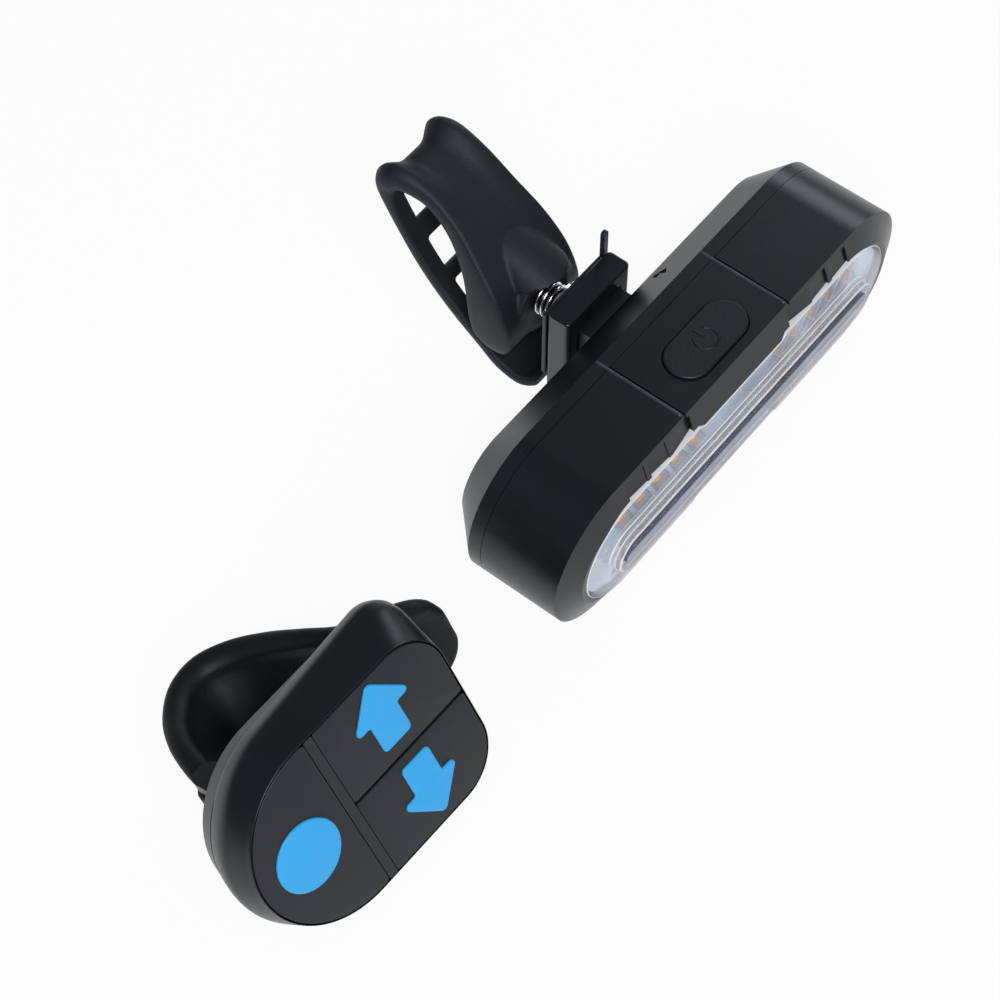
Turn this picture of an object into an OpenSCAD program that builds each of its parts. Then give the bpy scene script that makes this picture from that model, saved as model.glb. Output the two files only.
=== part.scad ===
// Bicycle turn signal light with its quick-release strap mount and the handlebar remote of the set.
// Millimetres. +Z is up, the lens faces -Y, the strap mount is on +Y and +X runs along the light.
// The origin is the middle of the flat underside that the light stands on.

/* [Light body] */
// Length of the light, end to end
body_len = 100; // [85:1:130]
// Height of the light, which is also the diameter of its round ends
body_h = 31.6; // [30:0.2:38]
// Depth of the straight side wall, front edge to rear edge
wall_depth = 18.4; // [17:0.2:26]
// Thickness of the moulded walls
wall_t = 2; // [1.6:0.1:2.4]
// How far the bezel slopes forward from the side wall to the lens
front_bevel_depth = 2; // [1.2:0.1:3]
// How far the sloped bezel runs in from the side wall
front_bevel_inset = 5.1; // [5:0.1:6]
// Depth of the sloped edge of the rear cover
rear_bevel_depth = 6.4; // [5:0.2:9]
// How far the sloped edge of the rear cover runs in
rear_bevel_inset = 6.4; // [5:0.2:7]
// Distance of the parting line in front of the rear edge of the side wall
parting_back = 2.7; // [2:0.1:4]
// Distance of each groove on the top from the middle
groove_x = 15; // [13:0.5:18]
// Width of those grooves
groove_w = 0.9; // [0.6:0.1:1.2]
// Depth of those grooves
groove_d = 0.4; // [0.2:0.1:0.6]

/* [Lens and lamps] */
// Length of the clear lens
lens_len = 87.6; // [76:0.2:90]
// Height of the clear lens
lens_h = 23.2; // [20:0.2:24]
// Half height of the lens at its middle, between the bezel's tabs
lens_waist = 10.7; // [9:0.1:11]
// Half width of each tab of the bezel, at the lens
tab_half = 11.2; // [8:0.2:12]
// Thickness of the lens window
lens_t = 0.9; // [0.8:0.1:1.2]
// Length of the raised light bar on the lens
bar_len = 75; // [60:1:78]
// Height of the raised light bar
bar_h = 9.3; // [7:0.1:11]
// How far the light bar stands out of the lens
bar_rise = 1.1; // [0.6:0.1:1.6]
// Amber lamps on each half of the board, in each row
lamps_per_half = 5; // [3:1:5]
// Radius of one round lamp
lamp_r = 1.5; // [1.2:0.1:1.6]

/* [Controls] */
// Length of the rubber power button
button_len = 19; // [15:0.5:22]
// Width of the rubber power button
button_w = 9; // [7:0.5:10]
// How far the button stands above the housing
button_rise = 0.5; // [0.3:0.1:0.9]
// Travel of the button
button_travel = 0.5; // [0.3:0.1:0.5]
// Distance of the button in front of the middle of the side wall
button_front = 2.8; // [2:0.2:3.2]
// Place of the charging port along the light
port_x = 22; // [20:1:26]
// Width of the rubber plug over the charging port
plug_len = 13; // [12:0.5:15]

/* [Slide bracket] */
// Width of the bracket block
block_w = 18; // [17:0.5:22]
// Height of the bracket block
block_h = 21; // [20:0.5:26]
// Thickness of the bracket block
block_t = 4.9; // [4.8:0.1:6]
// Gap between the rear cover and the bracket block
block_gap = 4; // [3:0.2:6]
// Width of the neck of the rail on the rear cover
rail_neck_w = 12; // [10:0.2:12.4]
// Thickness of the spring steel release lever
lever_t = 0.9; // [0.6:0.1:1.1]
// Radius of the pivot post
post_r = 2.6; // [2.2:0.1:2.8]
// Mean radius of the pivot spring
spring_r = 4.4; // [4.2:0.1:4.6]
// Wire diameter of the pivot spring
wire_d = 0.8; // [0.6:0.05:0.85]
// Turns of the pivot spring
spring_turns = 3; // [2:1:3]

/* [Straps] */
// Thickness of the rubber bands
band_t = 2.3; // [1.8:0.1:2.6]
// Width of the hook slots, across the band
slot_w = 12; // [9:0.5:13]
// Length of the hook slots, along the band
slot_len = 6.5; // [5:0.5:7.5]

/* [Remote] */
// Straight length of the key face, from the round end's centre to the corner centres
remote_run = 20.7; // [19:0.2:26]
// Radius of the round end of the key face, half the height of the face
remote_r = 17.3; // [16.6:0.1:19]
// Radius of the two corners at the other end
remote_corner = 9; // [8:0.2:9.6]
// Depth of the front shell
remote_front_d = 9.7; // [9.4:0.1:11]
// Depth of the back shell
remote_back_d = 4.8; // [4.4:0.1:7]
// How far the shoulder of the shell stands out round the key face
shoulder_out = 1.75; // [1.4:0.05:2.2]
// Width of the rib between the mode key and the arrow keys
rib_w = 1.8; // [1.2:0.1:2.4]
// Radius of the round blue insert
dot_r = 6.35; // [5:0.05:6.8]
// Travel of the remote's keys
key_travel = 0.5; // [0.3:0.1:0.5]

/* [Hidden] */
$fn = 64;

// Clearances: fitted pieces of one body, sliding faces, running bores and soft pieces
fit_gap = 0.1;
slide_gap = 0.2;
run_gap = 0.05;
soft_gap = 0.4;
// A cut runs this far past the face that it opens, and a joined shape this far into its neighbour
over = 1;
sink = 0.5;

// The light is drawn about its long axis, with y = 0 in the middle of the side wall
body_r = body_h / 2;
front_y = -wall_depth / 2;
rear_y = wall_depth / 2;
part_y = rear_y - parting_back;
bezel_t = 1.2;
bezel_back_y = front_y + bezel_t;
lens_y = front_y - front_bevel_depth - fit_gap;
cavity_r = body_r - wall_t;
bevel_angle = atan2(front_bevel_depth, front_bevel_inset);
lens_r = lens_h / 2;
lens_lip = 0.6;
lens_lip_t = 1.2;
lens_wall = 0.9;
lens_back_y = lens_y + lens_t;
tray_y0 = bezel_back_y + lens_lip_t + fit_gap;
tray_depth = 4.6;
tray_y1 = tray_y0 + tray_depth;
board_y0 = tray_y1 + fit_gap;
board_t = 1.6;
board_y1 = board_y0 + board_t;
board_r = lens_r - 0.4;
board_len = lens_len - 3.6;
rear_face_y = rear_y + rear_bevel_depth;
cover_t = 2.2;
lip_t = 1.5;
lip_y0 = part_y - 1.5;
gasket_t = 1;
screw_x = body_len / 2 - 12;
screw_r = 1;
screw_head_r = 1.9;
screw_head_t = 1.4;
screw_boss_r = 2.3;
screw_seat_y = rear_face_y - 3;

// Slide bracket, all along y from the block's front face
block_y0 = rear_face_y + block_gap;
block_y1 = block_y0 + block_t;
block_round = 1;
block_top = block_h / 2 - 0.5;
block_bottom = block_top - block_h;
block_lip = 1.2;
rail_head_w = rail_neck_w + 2.8;
rail_head_y0 = block_y0 + block_lip + slide_gap;
rail_head_t = 1.9;
rail_top = block_top - 4;
rail_bottom = block_bottom + 2;
lever_y0 = block_y1 + fit_gap;
lever_y1 = lever_y0 + lever_t;
lever_top = block_top - 1;
lever_bottom = block_bottom + 3;
prong_top = block_top + 5.5;
prong_w = 1.5;
shoulder_r = post_r + 1;
shoulder_y = lever_y1 + 1.3;
washer_t = 0.8;
washer_r = spring_r + 0.9;
spring_y0 = shoulder_y + washer_t + fit_gap;
spring_pitch = wire_d + 0.45;
spring_y1 = spring_y0 + spring_turns * spring_pitch + wire_d;
bush_y0 = spring_y1 + fit_gap;
bush_flange_t = 1.5;
bush_t = 3.4;
bush_y1 = bush_y0 + bush_t;
bush_r = 5;
bush_flange_r = 6;
pivot_head_r = 4.2;
pivot_head_t = 1.6;
pivot_head_y = bush_y1 + fit_gap;
pivot_shank_r = 1.5;
pivot_depth = 7;

// Moves the light's own frame so that its underside lies on the ground
module on_ground() {
    translate([0, 0, body_r])
        children();
}

// Draws a flat shape given in x and z as a slab from y0 to y1
module along_y(y0, y1) {
    translate([0, y1, 0])
        rotate([90, 0, 0])
            linear_extrude(y1 - y0)
                children();
}

// Flat slot shape with round ends
module stadium(length, radius) {
    square([length - 2 * radius, 2 * radius], center = true);
    for (side = [-1, 1])
        translate([side * (length / 2 - radius), 0])
            circle(radius);
}

// Slot shape along y whose edge draws in by inset between y0 and y1
module stadium_taper(length, radius, y0, y1, inset) {
    run = length - 2 * radius;
    turn = y1 > y0 ? -90 : 90;
    rotate([90, 0, 90])
        linear_extrude(run, center = true)
            polygon([
                [y0, -radius],
                [y0, radius],
                [y1, radius - inset],
                [y1, inset - radius]
            ]);
    for (side = [-1, 1])
        translate([side * run / 2, y0, 0])
            rotate([turn, 0, 0])
                cylinder(h = abs(y1 - y0), r1 = radius, r2 = radius - inset);
}

// Round bar along y
module bar_y(radius, y0, y1) {
    translate([0, y0, 0])
        rotate([-90, 0, 0])
            cylinder(h = y1 - y0, r = radius);
}

// Flat plate in x and y with its corners rounded
module rounded_plate(w, d, radius) {
    square([w - 2 * radius, d], center = true);
    square([w, d - 2 * radius], center = true);
    for (sx = [-1, 1], sy = [-1, 1])
        translate([sx * (w / 2 - radius), sy * (d / 2 - radius)])
            circle(radius);
}

// Outline of the lens: a slot shape cut in at the waist by the bezel's two tabs
module lens_outline(gap) {
    tab_slope = 2.8;
    difference() {
        stadium(lens_len - 2 * gap, lens_r - gap);
        for (side = [-1, 1])
            scale([1, side])
                polygon([
                    [-tab_half - gap, lens_waist - gap],
                    [tab_half + gap, lens_waist - gap],
                    [tab_half + tab_slope + gap, lens_r + over],
                    [-tab_half - tab_slope - gap, lens_r + over]
                ]);
    }
}

// Frame on the upper slope of the bezel: x along the light, y out of the slope, z down the slope
module on_bevel() {
    translate([0, front_y, body_r])
        rotate([180 - bevel_angle, 0, 0])
            children();
}
bevel_run = norm([front_bevel_depth, front_bevel_inset]);

// Saw-tooth facets pressed into the bezel beside each tab
module bezel_facets() {
    facet_d = 0.45;
    first_d = 0.8;
    first_x = [tab_half + 2.8, tab_half + 8.8];
    facet_x = [tab_half + 9.6, tab_half + 15.6];
    facet_w = 5;
    edge = 0.8;
    for (top = [0, 1], side = [0, 1])
        mirror([0, 0, top])
            mirror([side, 0, 0])
                on_bevel()
                    translate([0, 0, edge])
                        linear_extrude(bevel_run) {
                            polygon([
                                [first_x[0], -first_d],
                                [first_x[1], 0],
                                [first_x[1], over],
                                [first_x[0], over]
                            ]);
                            for (x = facet_x)
                                polygon([
                                    [x, -facet_d * 0.4],
                                    [x + facet_w, -facet_d],
                                    [x + facet_w, over],
                                    [x, over]
                                ]);
                        }
}

module button_hole(grow) {
    linear_extrude(body_r + over)
        translate([0, -button_front])
            stadium(button_len + 2 * grow, button_w / 2 + grow);
}

module front_housing() {
    rib_t = 2;
    rib_end_y = lip_y0 - gasket_t - soft_gap;
    boss_y0 = board_y1 + soft_gap;
    color("#17181a")
        on_ground()
            difference() {
                union() {
                    difference() {
                        union() {
                            along_y(front_y, part_y)
                                stadium(body_len, body_r);
                            stadium_taper(body_len, body_r, front_y, front_y - front_bevel_depth,
                                front_bevel_inset);
                        }
                        along_y(bezel_back_y, part_y + over)
                            stadium(body_len - 2 * wall_t, cavity_r);
                        along_y(lens_y - over, bezel_back_y + over)
                            lens_outline(0);
                    }
                    for (side = [-1, 1]) {
                        translate([side * screw_x, 0, 0])
                            bar_y(screw_boss_r, boss_y0, part_y - 2 * fit_gap);
                        translate([side * (screw_x + body_len / 2 - wall_t) / 2, 0, 0])
                            translate([0, (boss_y0 + rib_end_y) / 2, 0])
                                cube([body_len / 2 - wall_t - screw_x + 2 * sink, rib_end_y - boss_y0, rib_t],
                                    center = true);
                    }
                }
                for (side = [-1, 1]) {
                    translate([side * screw_x, 0, 0])
                        bar_y(screw_r + run_gap, boss_y0 - over, part_y + over);
                    translate([side * groove_x, 0, body_r])
                        cube([groove_w, wall_depth, 2 * groove_d], center = true);
                    translate([side * groove_x, 0, 0])
                        on_bevel()
                            cube([groove_w, 2 * groove_d, 3 * bevel_run], center = true);
                }
                button_hole(fit_gap);
                bezel_facets();
                port_cut(0);
            }
}

// Charging port: a through slot and the shallow seat for its rubber plug, in the underside
plug_w = 6.4;
plug_t = 1.1;
port_y = board_y1 + board_t;
tongue_len = 9.4;
tongue_w = 3.6;
module port_cut(shrink) {
    translate([port_x, port_y, -body_r - over])
        linear_extrude(over + plug_t + (shrink > 0 ? 0 : fit_gap))
            stadium(plug_len - 2 * shrink, plug_w / 2 - shrink);
    translate([port_x, port_y, -body_r])
        linear_extrude(wall_t + over)
            stadium(tongue_len - 2 * shrink, tongue_w / 2 - shrink);
}

module lens() {
    bar_y0 = lens_y - bar_rise;
    channel = 0.55;
    rim = 2.4;
    color("#dfe8f0", 0.45)
        on_ground()
            difference() {
                union() {
                    along_y(lens_y, bezel_back_y + fit_gap)
                        lens_outline(fit_gap);
                    along_y(bezel_back_y + fit_gap, bezel_back_y + lens_lip_t)
                        stadium(lens_len + 2 * lens_lip, lens_r + lens_lip);
                    along_y(bar_y0, lens_y + over)
                        stadium(bar_len, bar_h / 2);
                }
                along_y(lens_back_y, bezel_back_y + lens_lip_t + over)
                    lens_outline(lens_wall);
                along_y(bar_y0 - over, bar_y0 + channel)
                    stadium(bar_len - 2 * rim, bar_h / 2 - rim);
            }
}

// Rows of lamps above and below the light bar, on both halves of the board
lamp_z = 6.1;
lamp_x0 = 12;
lamp_end = board_len / 2 - 9.5;
lamp_step = (lamp_end - lamp_x0) / (lamps_per_half - 1);
module at_lamps() {
    for (side = [0, 1], row = [0, 1], i = [0 : lamps_per_half - 1])
        mirror([side, 0, 0])
            mirror([0, 0, row])
                translate([lamp_x0 + i * lamp_step, 0, lamp_z])
                    children();
}

// White moulding that fills the lens, with a slanted light well round each lamp
strip_r = 2.2;
strip_len = bar_len - 8;
module reflector() {
    well_wall = 0.9;
    well_half = (lamp_step - well_wall) / 2;
    well_top = lens_waist - lens_wall - fit_gap - well_wall - lamp_z;
    slant = 0.45;
    color("#e9edf0")
        on_ground()
            difference() {
                union() {
                    along_y(tray_y0, tray_y1)
                        stadium(board_len, board_r);
                    along_y(lens_back_y + fit_gap, tray_y0 + over)
                        lens_outline(lens_wall + fit_gap);
                }
                at_lamps()
                    along_y(lens_y, tray_y1 + over)
                        polygon([
                            [-well_half - slant * well_top, -well_top],
                            [well_half - slant * well_top, -well_top],
                            [well_half + slant * well_top, well_top],
                            [-well_half + slant * well_top, well_top]
                        ]);
                along_y(lens_y, tray_y1 + over)
                    stadium(strip_len + 2 * fit_gap, strip_r + fit_gap);
            }
}

module led_board() {
    color("#dfe3e6")
        on_ground()
            along_y(board_y0, board_y1)
                stadium(board_len, board_r);
}

// Round amber lamps, each a flanged body with a domed end
module amber_lamps() {
    foot_t = 0.8;
    foot_r = lamp_r + 0.2;
    foot_y = board_y0 - fit_gap / 2;
    dome_y = lens_back_y + soft_gap + lamp_r;
    color("#f0a030")
        on_ground()
            at_lamps() {
                bar_y(foot_r, foot_y - foot_t, foot_y);
                bar_y(lamp_r, dome_y, foot_y - foot_t + fit_gap);
                translate([0, dome_y, 0])
                    sphere(lamp_r);
            }
}

// Clear bar behind the lens that carries the light of the middle row
module light_strip() {
    color("#cfd9e4", 0.6)
        on_ground()
            along_y(lens_back_y + soft_gap, board_y0 - fit_gap / 2)
                stadium(strip_len, strip_r);
}

// Switch behind the board, under the stem of the power button
stem_r = 1.2;
stem_y = board_y1 + 1.3;
button_flange_t = 0.6;
flange_z = cavity_r - 2 * fit_gap;
stem_bottom = flange_z - button_flange_t - 1;
module tact_switch() {
    plunger_top = stem_bottom - button_travel - fit_gap;
    plunger_rise = 0.7;
    plunger_r = 0.9;
    case_top = plunger_top - plunger_rise;
    case_h = 3.2;
    case_w = 6;
    case_d = 3.4;
    color("#303236")
        on_ground() {
            translate([-case_w / 2, board_y1 + fit_gap / 2, case_top - case_h])
                cube([case_w, case_d, case_h]);
            translate([0, stem_y, case_top - sink])
                cylinder(h = plunger_rise + sink, r = plunger_r);
        }
}

module power_button() {
    flange_out = 0.7;
    color("#1d1e20")
        on_ground() {
            translate([0, -button_front, flange_z])
                linear_extrude(body_r + button_rise - flange_z)
                    stadium(button_len - 2 * fit_gap, button_w / 2 - fit_gap);
            translate([0, -button_front, flange_z - button_flange_t])
                linear_extrude(button_flange_t + fit_gap)
                    stadium(button_len + 2 * flange_out, button_w / 2 + flange_out);
            translate([0, stem_y, stem_bottom])
                cylinder(h = flange_z - stem_bottom, r = stem_r);
        }
}

module battery_pack() {
    cell = [44, 6.3, 16];
    cell_x = -10;
    cell_z = -2;
    cell_round = 2;
    color("#b9bec4")
        on_ground()
            translate([cell_x, board_y1 + fit_gap / 2 + cell[1] / 2, cell_z])
                rotate([0, 90, 0])
                    linear_extrude(cell[0], center = true)
                        rounded_plate(cell[2], cell[1], cell_round);
}

module charge_socket() {
    socket = [8, 2.9, 6];
    mouth = [6.9, 1.9];
    mouth_depth = 4;
    shell_bottom = -cavity_r + fit_gap;
    color("#c9ccd0")
        on_ground()
            translate([port_x, port_y, shell_bottom])
                difference() {
                    translate([0, 0, socket[2] / 2])
                        cube(socket, center = true);
                    translate([0, 0, (mouth_depth - over) / 2])
                        cube([mouth[0], mouth[1], mouth_depth + over], center = true);
                }
}

module port_plug() {
    color("#1b1c1e")
        on_ground()
            difference() {
                translate([0, 0, fit_gap])
                    port_cut(fit_gap);
                translate([port_x, port_y, -body_r - over])
                    cube([2 * plug_len, 2 * plug_len, 2 * (over + slide_gap)], center = true);
                translate([port_x, port_y, -cavity_r + body_r / 2])
                    cube([2 * plug_len, 2 * plug_len, body_r], center = true);
            }
}

module cover_gasket() {
    color("#5a5d60")
        on_ground()
            along_y(lip_y0 - gasket_t, lip_y0 - fit_gap / 2)
                difference() {
                    stadium(body_len - 2 * wall_t - 2 * fit_gap, cavity_r - fit_gap);
                    stadium(body_len - 2 * wall_t - 2 * gasket_t, cavity_r - gasket_t);
                }
}

module rear_cover() {
    hollow_r = cavity_r - lip_t;
    hollow_len = body_len - 2 * wall_t - 2 * lip_t;
    hollow_end = rear_face_y - cover_t;
    hollow_inset = rear_bevel_inset * (hollow_end - rear_y) / rear_bevel_depth;
    hollow_seam = 0.01;
    post_wall = 1.4;
    color("#17181a")
        on_ground()
            difference() {
                union() {
                    difference() {
                        union() {
                            along_y(part_y + fit_gap, rear_y)
                                stadium(body_len, body_r);
                            stadium_taper(body_len, body_r, rear_y, rear_face_y, rear_bevel_inset);
                            along_y(lip_y0, part_y + 2 * fit_gap)
                                stadium(body_len - 2 * wall_t - 2 * fit_gap, cavity_r - fit_gap);
                        }
                        along_y(lip_y0 - over, rear_y)
                            stadium(hollow_len, hollow_r);
                        stadium_taper(hollow_len, hollow_r, rear_y - hollow_seam, hollow_end, hollow_inset);
                    }
                    for (side = [-1, 1])
                        translate([side * screw_x, 0, 0])
                            bar_y(screw_head_r + post_wall, part_y - fit_gap, rear_face_y - sink);
                    rail();
                }
                for (side = [-1, 1])
                    translate([side * screw_x, 0, 0]) {
                        bar_y(screw_r + fit_gap, part_y - over, rear_face_y + over);
                        bar_y(screw_head_r + fit_gap, screw_seat_y, rear_face_y + over);
                    }
            }
}

// T-shaped rail on the rear cover that the bracket slides down over
module rail() {
    rail_len = rail_top - rail_bottom;
    middle_z = (rail_top + rail_bottom) / 2;
    translate([0, (rear_face_y + rail_head_y0) / 2, middle_z])
        cube([rail_neck_w, rail_head_y0 - rear_face_y + 2 * sink, rail_len], center = true);
    translate([0, rail_head_y0 + rail_head_t / 2, middle_z])
        cube([rail_head_w, rail_head_t, rail_len], center = true);
}

module cover_screws() {
    drive_r = 0.9;
    drive_floor = 0.6;
    grip = 4.5;
    color("#8a8d92")
        on_ground()
            for (side = [-1, 1])
                translate([side * screw_x, 0, 0])
                    difference() {
                        union() {
                            bar_y(screw_r, part_y - grip, screw_seat_y + sink);
                            bar_y(screw_head_r, screw_seat_y + fit_gap / 2, screw_seat_y + screw_head_t);
                        }
                        translate([0, screw_seat_y + drive_floor, 0])
                            rotate([-90, 0, 0])
                                cylinder(h = screw_head_t, r = drive_r, $fn = 6);
                    }
}

module bracket() {
    slot_top = rail_top + fit_gap;
    slot_cut = slot_top - block_bottom + over;
    head_cut_t = rail_head_t + 2 * slide_gap;
    color("#101113")
        on_ground()
            difference() {
                union() {
                    translate([0, (block_y0 + block_y1) / 2, block_bottom])
                        linear_extrude(block_h)
                            rounded_plate(block_w, block_t, block_round);
                    bar_y(shoulder_r, block_y1 - sink, shoulder_y);
                    bar_y(post_r, block_y1 - sink, bush_y1);
                }
                translate([0, block_y0, slot_top - slot_cut / 2])
                    cube([rail_neck_w + 2 * slide_gap, 2 * (block_lip + slide_gap), slot_cut], center = true);
                translate([0, rail_head_y0 - slide_gap + head_cut_t / 2, slot_top - slot_cut / 2])
                    cube([rail_head_w + 2 * slide_gap, head_cut_t, slot_cut], center = true);
                bar_y(pivot_shank_r + run_gap, bush_y1 - pivot_depth, bush_y1 + over);
            }
}

// Leaf of spring steel behind the block: its prong is pressed back to free the light
module release_lever() {
    leaf_half = block_w / 2 - fit_gap;
    hole_r = shoulder_r + 0.5;
    color("#2a2c2f")
        on_ground()
            difference() {
                along_y(lever_y0, lever_y1) {
                    translate([-leaf_half, lever_bottom])
                        square([2 * leaf_half, lever_top - lever_bottom]);
                    translate([block_w / 2 - prong_w, lever_bottom])
                        square([prong_w, prong_top - prong_w / 2 - lever_bottom]);
                    translate([block_w / 2 - prong_w / 2, prong_top - prong_w / 2])
                        circle(prong_w / 2);
                }
                bar_y(hole_r, lever_y0 - over, lever_y1 + over);
            }
}

module spring_washer() {
    color("#c4c7cb")
        on_ground()
            difference() {
                bar_y(washer_r, shoulder_y + fit_gap / 2, shoulder_y + washer_t);
                bar_y(post_r + run_gap, shoulder_y - over, shoulder_y + washer_t + over);
            }
}

// A tube with the given number of sides swept through a list of points, as triangles
function unit(v) = v / norm(v);
function tube_ring(points, i, radius, sides, up) =
    let (
        last = len(points) - 1,
        along = unit(points[min(i + 1, last)] - points[max(i - 1, 0)]),
        side_dir = unit(cross(along, up)),
        out_dir = cross(side_dir, along)
    )
    [for (k = [0 : sides - 1])
        points[i] + radius * (cos(360 * k / sides) * side_dir + sin(360 * k / sides) * out_dir)];
function skin_faces(rings, sides) = concat(
    [[for (k = [sides - 1 : -1 : 0]) k]],
    [for (i = [0 : rings - 2], k = [0 : sides - 1])
        [i * sides + k, (i + 1) * sides + (k + 1) % sides, (i + 1) * sides + k]],
    [for (i = [0 : rings - 2], k = [0 : sides - 1])
        [i * sides + k, i * sides + (k + 1) % sides, (i + 1) * sides + (k + 1) % sides]],
    [[for (k = [0 : sides - 1]) (rings - 1) * sides + k]]
);

// Centre line of the pivot spring: a helix round the pivot, from the washer to the bush
rings_per_turn = 8;
spring_points = [
    for (i = [0 : spring_turns * rings_per_turn])
        let (turn = 360 * i / rings_per_turn)
        [
            spring_r * sin(turn),
            spring_y0 + wire_d / 2 + i * spring_pitch / rings_per_turn,
            spring_r * cos(turn)
        ]
];
spring_gap = min([
    for (i = [0 : len(spring_points) - 1 - rings_per_turn])
        norm(spring_points[i + rings_per_turn] - spring_points[i]) - wire_d
]);
echo(str("pivot spring, least gap to itself: ", spring_gap, " mm"));

module pivot_spring() {
    sides = 6;
    points = [
        for (i = [0 : len(spring_points) - 1])
            each tube_ring(spring_points, i, wire_d / 2, sides, [0, 1, 0])
    ];
    color("#d8dade")
        on_ground()
            polyhedron(points, skin_faces(len(spring_points), sides), convexity = 10);
}

module pivot_bush() {
    color("#3a3c40")
        on_ground()
            difference() {
                union() {
                    bar_y(bush_flange_r, bush_y0, bush_y0 + bush_flange_t);
                    bar_y(bush_r, bush_y0, bush_y1);
                }
                bar_y(post_r + run_gap, bush_y0 - over, bush_y1 + over);
            }
}

module pivot_screw() {
    drive_r = 1.5;
    drive_floor = 0.6;
    tip_gap = 0.5;
    color("#b4b7bc")
        on_ground()
            difference() {
                union() {
                    bar_y(pivot_shank_r, bush_y1 - pivot_depth + tip_gap, pivot_head_y + sink);
                    bar_y(pivot_head_r, pivot_head_y, pivot_head_y + pivot_head_t);
                }
                translate([0, pivot_head_y + drive_floor, 0])
                    rotate([-90, 0, 0])
                        cylinder(h = pivot_head_t, r = drive_r, $fn = 6);
            }
}

// Rubber bands: a smooth curve through control points, each
// [along y, up z, thickness, half width, shift across], swept as one skin
function blend4(p0, p1, p2, p3, t) = 0.5 * (
    2 * p1 + (p2 - p0) * t + (2 * p0 - 5 * p1 + 4 * p2 - p3) * t * t
    + (3 * p1 - p0 - 3 * p2 + p3) * t * t * t);
function smooth_path(points, steps) = concat(
    [for (i = [0 : len(points) - 2], k = [0 : steps - 1])
        blend4(points[max(i - 1, 0)], points[i], points[i + 1],
            points[min(i + 2, len(points) - 1)], k / steps)],
    [points[len(points) - 1]]
);
function band_section(thick, half_w) =
    let (h = thick / 2, c = min(0.8, thick * 0.35))
    [
        [half_w, h - c], [half_w - c, h], [c - half_w, h], [-half_w, h - c],
        [-half_w, c - h], [c - half_w, -h], [half_w - c, -h], [half_w, c - h]
    ];
function band_ring(path, i) =
    let (
        last = len(path) - 1,
        d = path[min(i + 1, last)] - path[max(i - 1, 0)],
        n = unit([-d[1], d[0]])
    )
    [for (q = band_section(path[i][2], path[i][3]))
        [path[i][4] + q[0], path[i][0] + n[0] * q[1], path[i][1] + n[1] * q[1]]];
module band(path) {
    points = [for (i = [0 : len(path) - 1]) each band_ring(path, i)];
    polyhedron(points, skin_faces(len(path), 8), convexity = 10);
}

// The light's strap, along y from the spring's seat in its base and up z from the pivot
strap_y0 = bush_y0 - 7.9;
strap_points = [
    [10.9, -8.2, 5.2, 10.6, 0],
    [10.9, -5, 8.2, 11.8, 0],
    [11.3, -0.5, 9.2, 12, 0],
    [13, 4.2, 8, 11.6, 0],
    [16.4, 9.2, 5.6, 10.2, 0],
    [21.3, 14, 4, 8.6, 0],
    [26.8, 18.2, 3.2, 8.2, 0],
    [32, 20.9, band_t + 0.9, 9.4, 0],
    [35.8, 20.9, band_t + 0.9, 10, 0],
    [36.9, 18.2, band_t + 0.5, 10, 0],
    [33.9, 12.2, band_t, 10, 0],
    [27.9, 2.9, band_t, 10, 0],
    [21.4, -4.2, band_t, 10, 0],
    [14.4, -9.8, band_t, 10, 0],
    [10, -13.2, band_t, 10, 0],
    [5.4, -14.6, band_t, 9.6, 0],
    [2.6, -14, band_t, 8, 0]
];
strap_slots = [
    [33.6, 11.7, 57],
    [27.6, 2.5, 53],
    [21, -4.6, 43],
    [13.3, -10.7, 38]
];
hook_slot = strap_slots[3];

module band_slot(place, reach) {
    translate([0, place[0], place[1]])
        rotate([place[2], 0, 0])
            cube([slot_w, slot_len, reach], center = true);
}

module strap() {
    pocket_r = washer_r + 0.5;
    hood_r = pocket_r + 1.9;
    mouth_y = bush_y0 - 1.6;
    visor_y = lever_y1 + 2;
    visor_z = 3.3;
    hood_depth = 3;
    dome_foot = [0, strap_y0 + 18, 10.6];
    dome_size = [11.5, 5, 2];
    dome_edge = 0.5;
    slot_cut = 2.2 * band_t;
    access_r = pivot_head_r + 0.6;
    access_len = 12;
    path = smooth_path(strap_points, 4);
    color("#1c1d1f")
        on_ground()
            difference() {
                union() {
                    translate([0, strap_y0, 0])
                        difference() {
                            band(path);
                            for (slot = strap_slots)
                                band_slot(slot, slot_cut);
                        }
                    difference() {
                        bar_y(hood_r, visor_y, bush_y0 + hood_depth);
                        rotate([90, 0, 90])
                            linear_extrude(4 * hood_r, center = true)
                                polygon([
                                    [visor_y - over, hood_r],
                                    [visor_y, hood_r],
                                    [mouth_y, visor_z],
                                    [mouth_y, -2 * hood_r],
                                    [visor_y - over, -2 * hood_r]
                                ]);
                    }
                    hull() {
                        bar_y(hood_r - dome_edge, mouth_y + dome_edge, mouth_y + dome_size[2]);
                        translate(dome_foot)
                            rotate([45, 0, 0])
                                cube(dome_size, center = true);
                    }
                }
                bar_y(pocket_r, visor_y - over, bush_y0);
                bar_y(bush_flange_r + run_gap, bush_y0 - fit_gap, bush_y0 + bush_flange_t + run_gap);
                bar_y(bush_r + run_gap, bush_y0, bush_y1 + fit_gap);
                bar_y(access_r, bush_y1, bush_y1 + access_len);
            }
}

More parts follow.
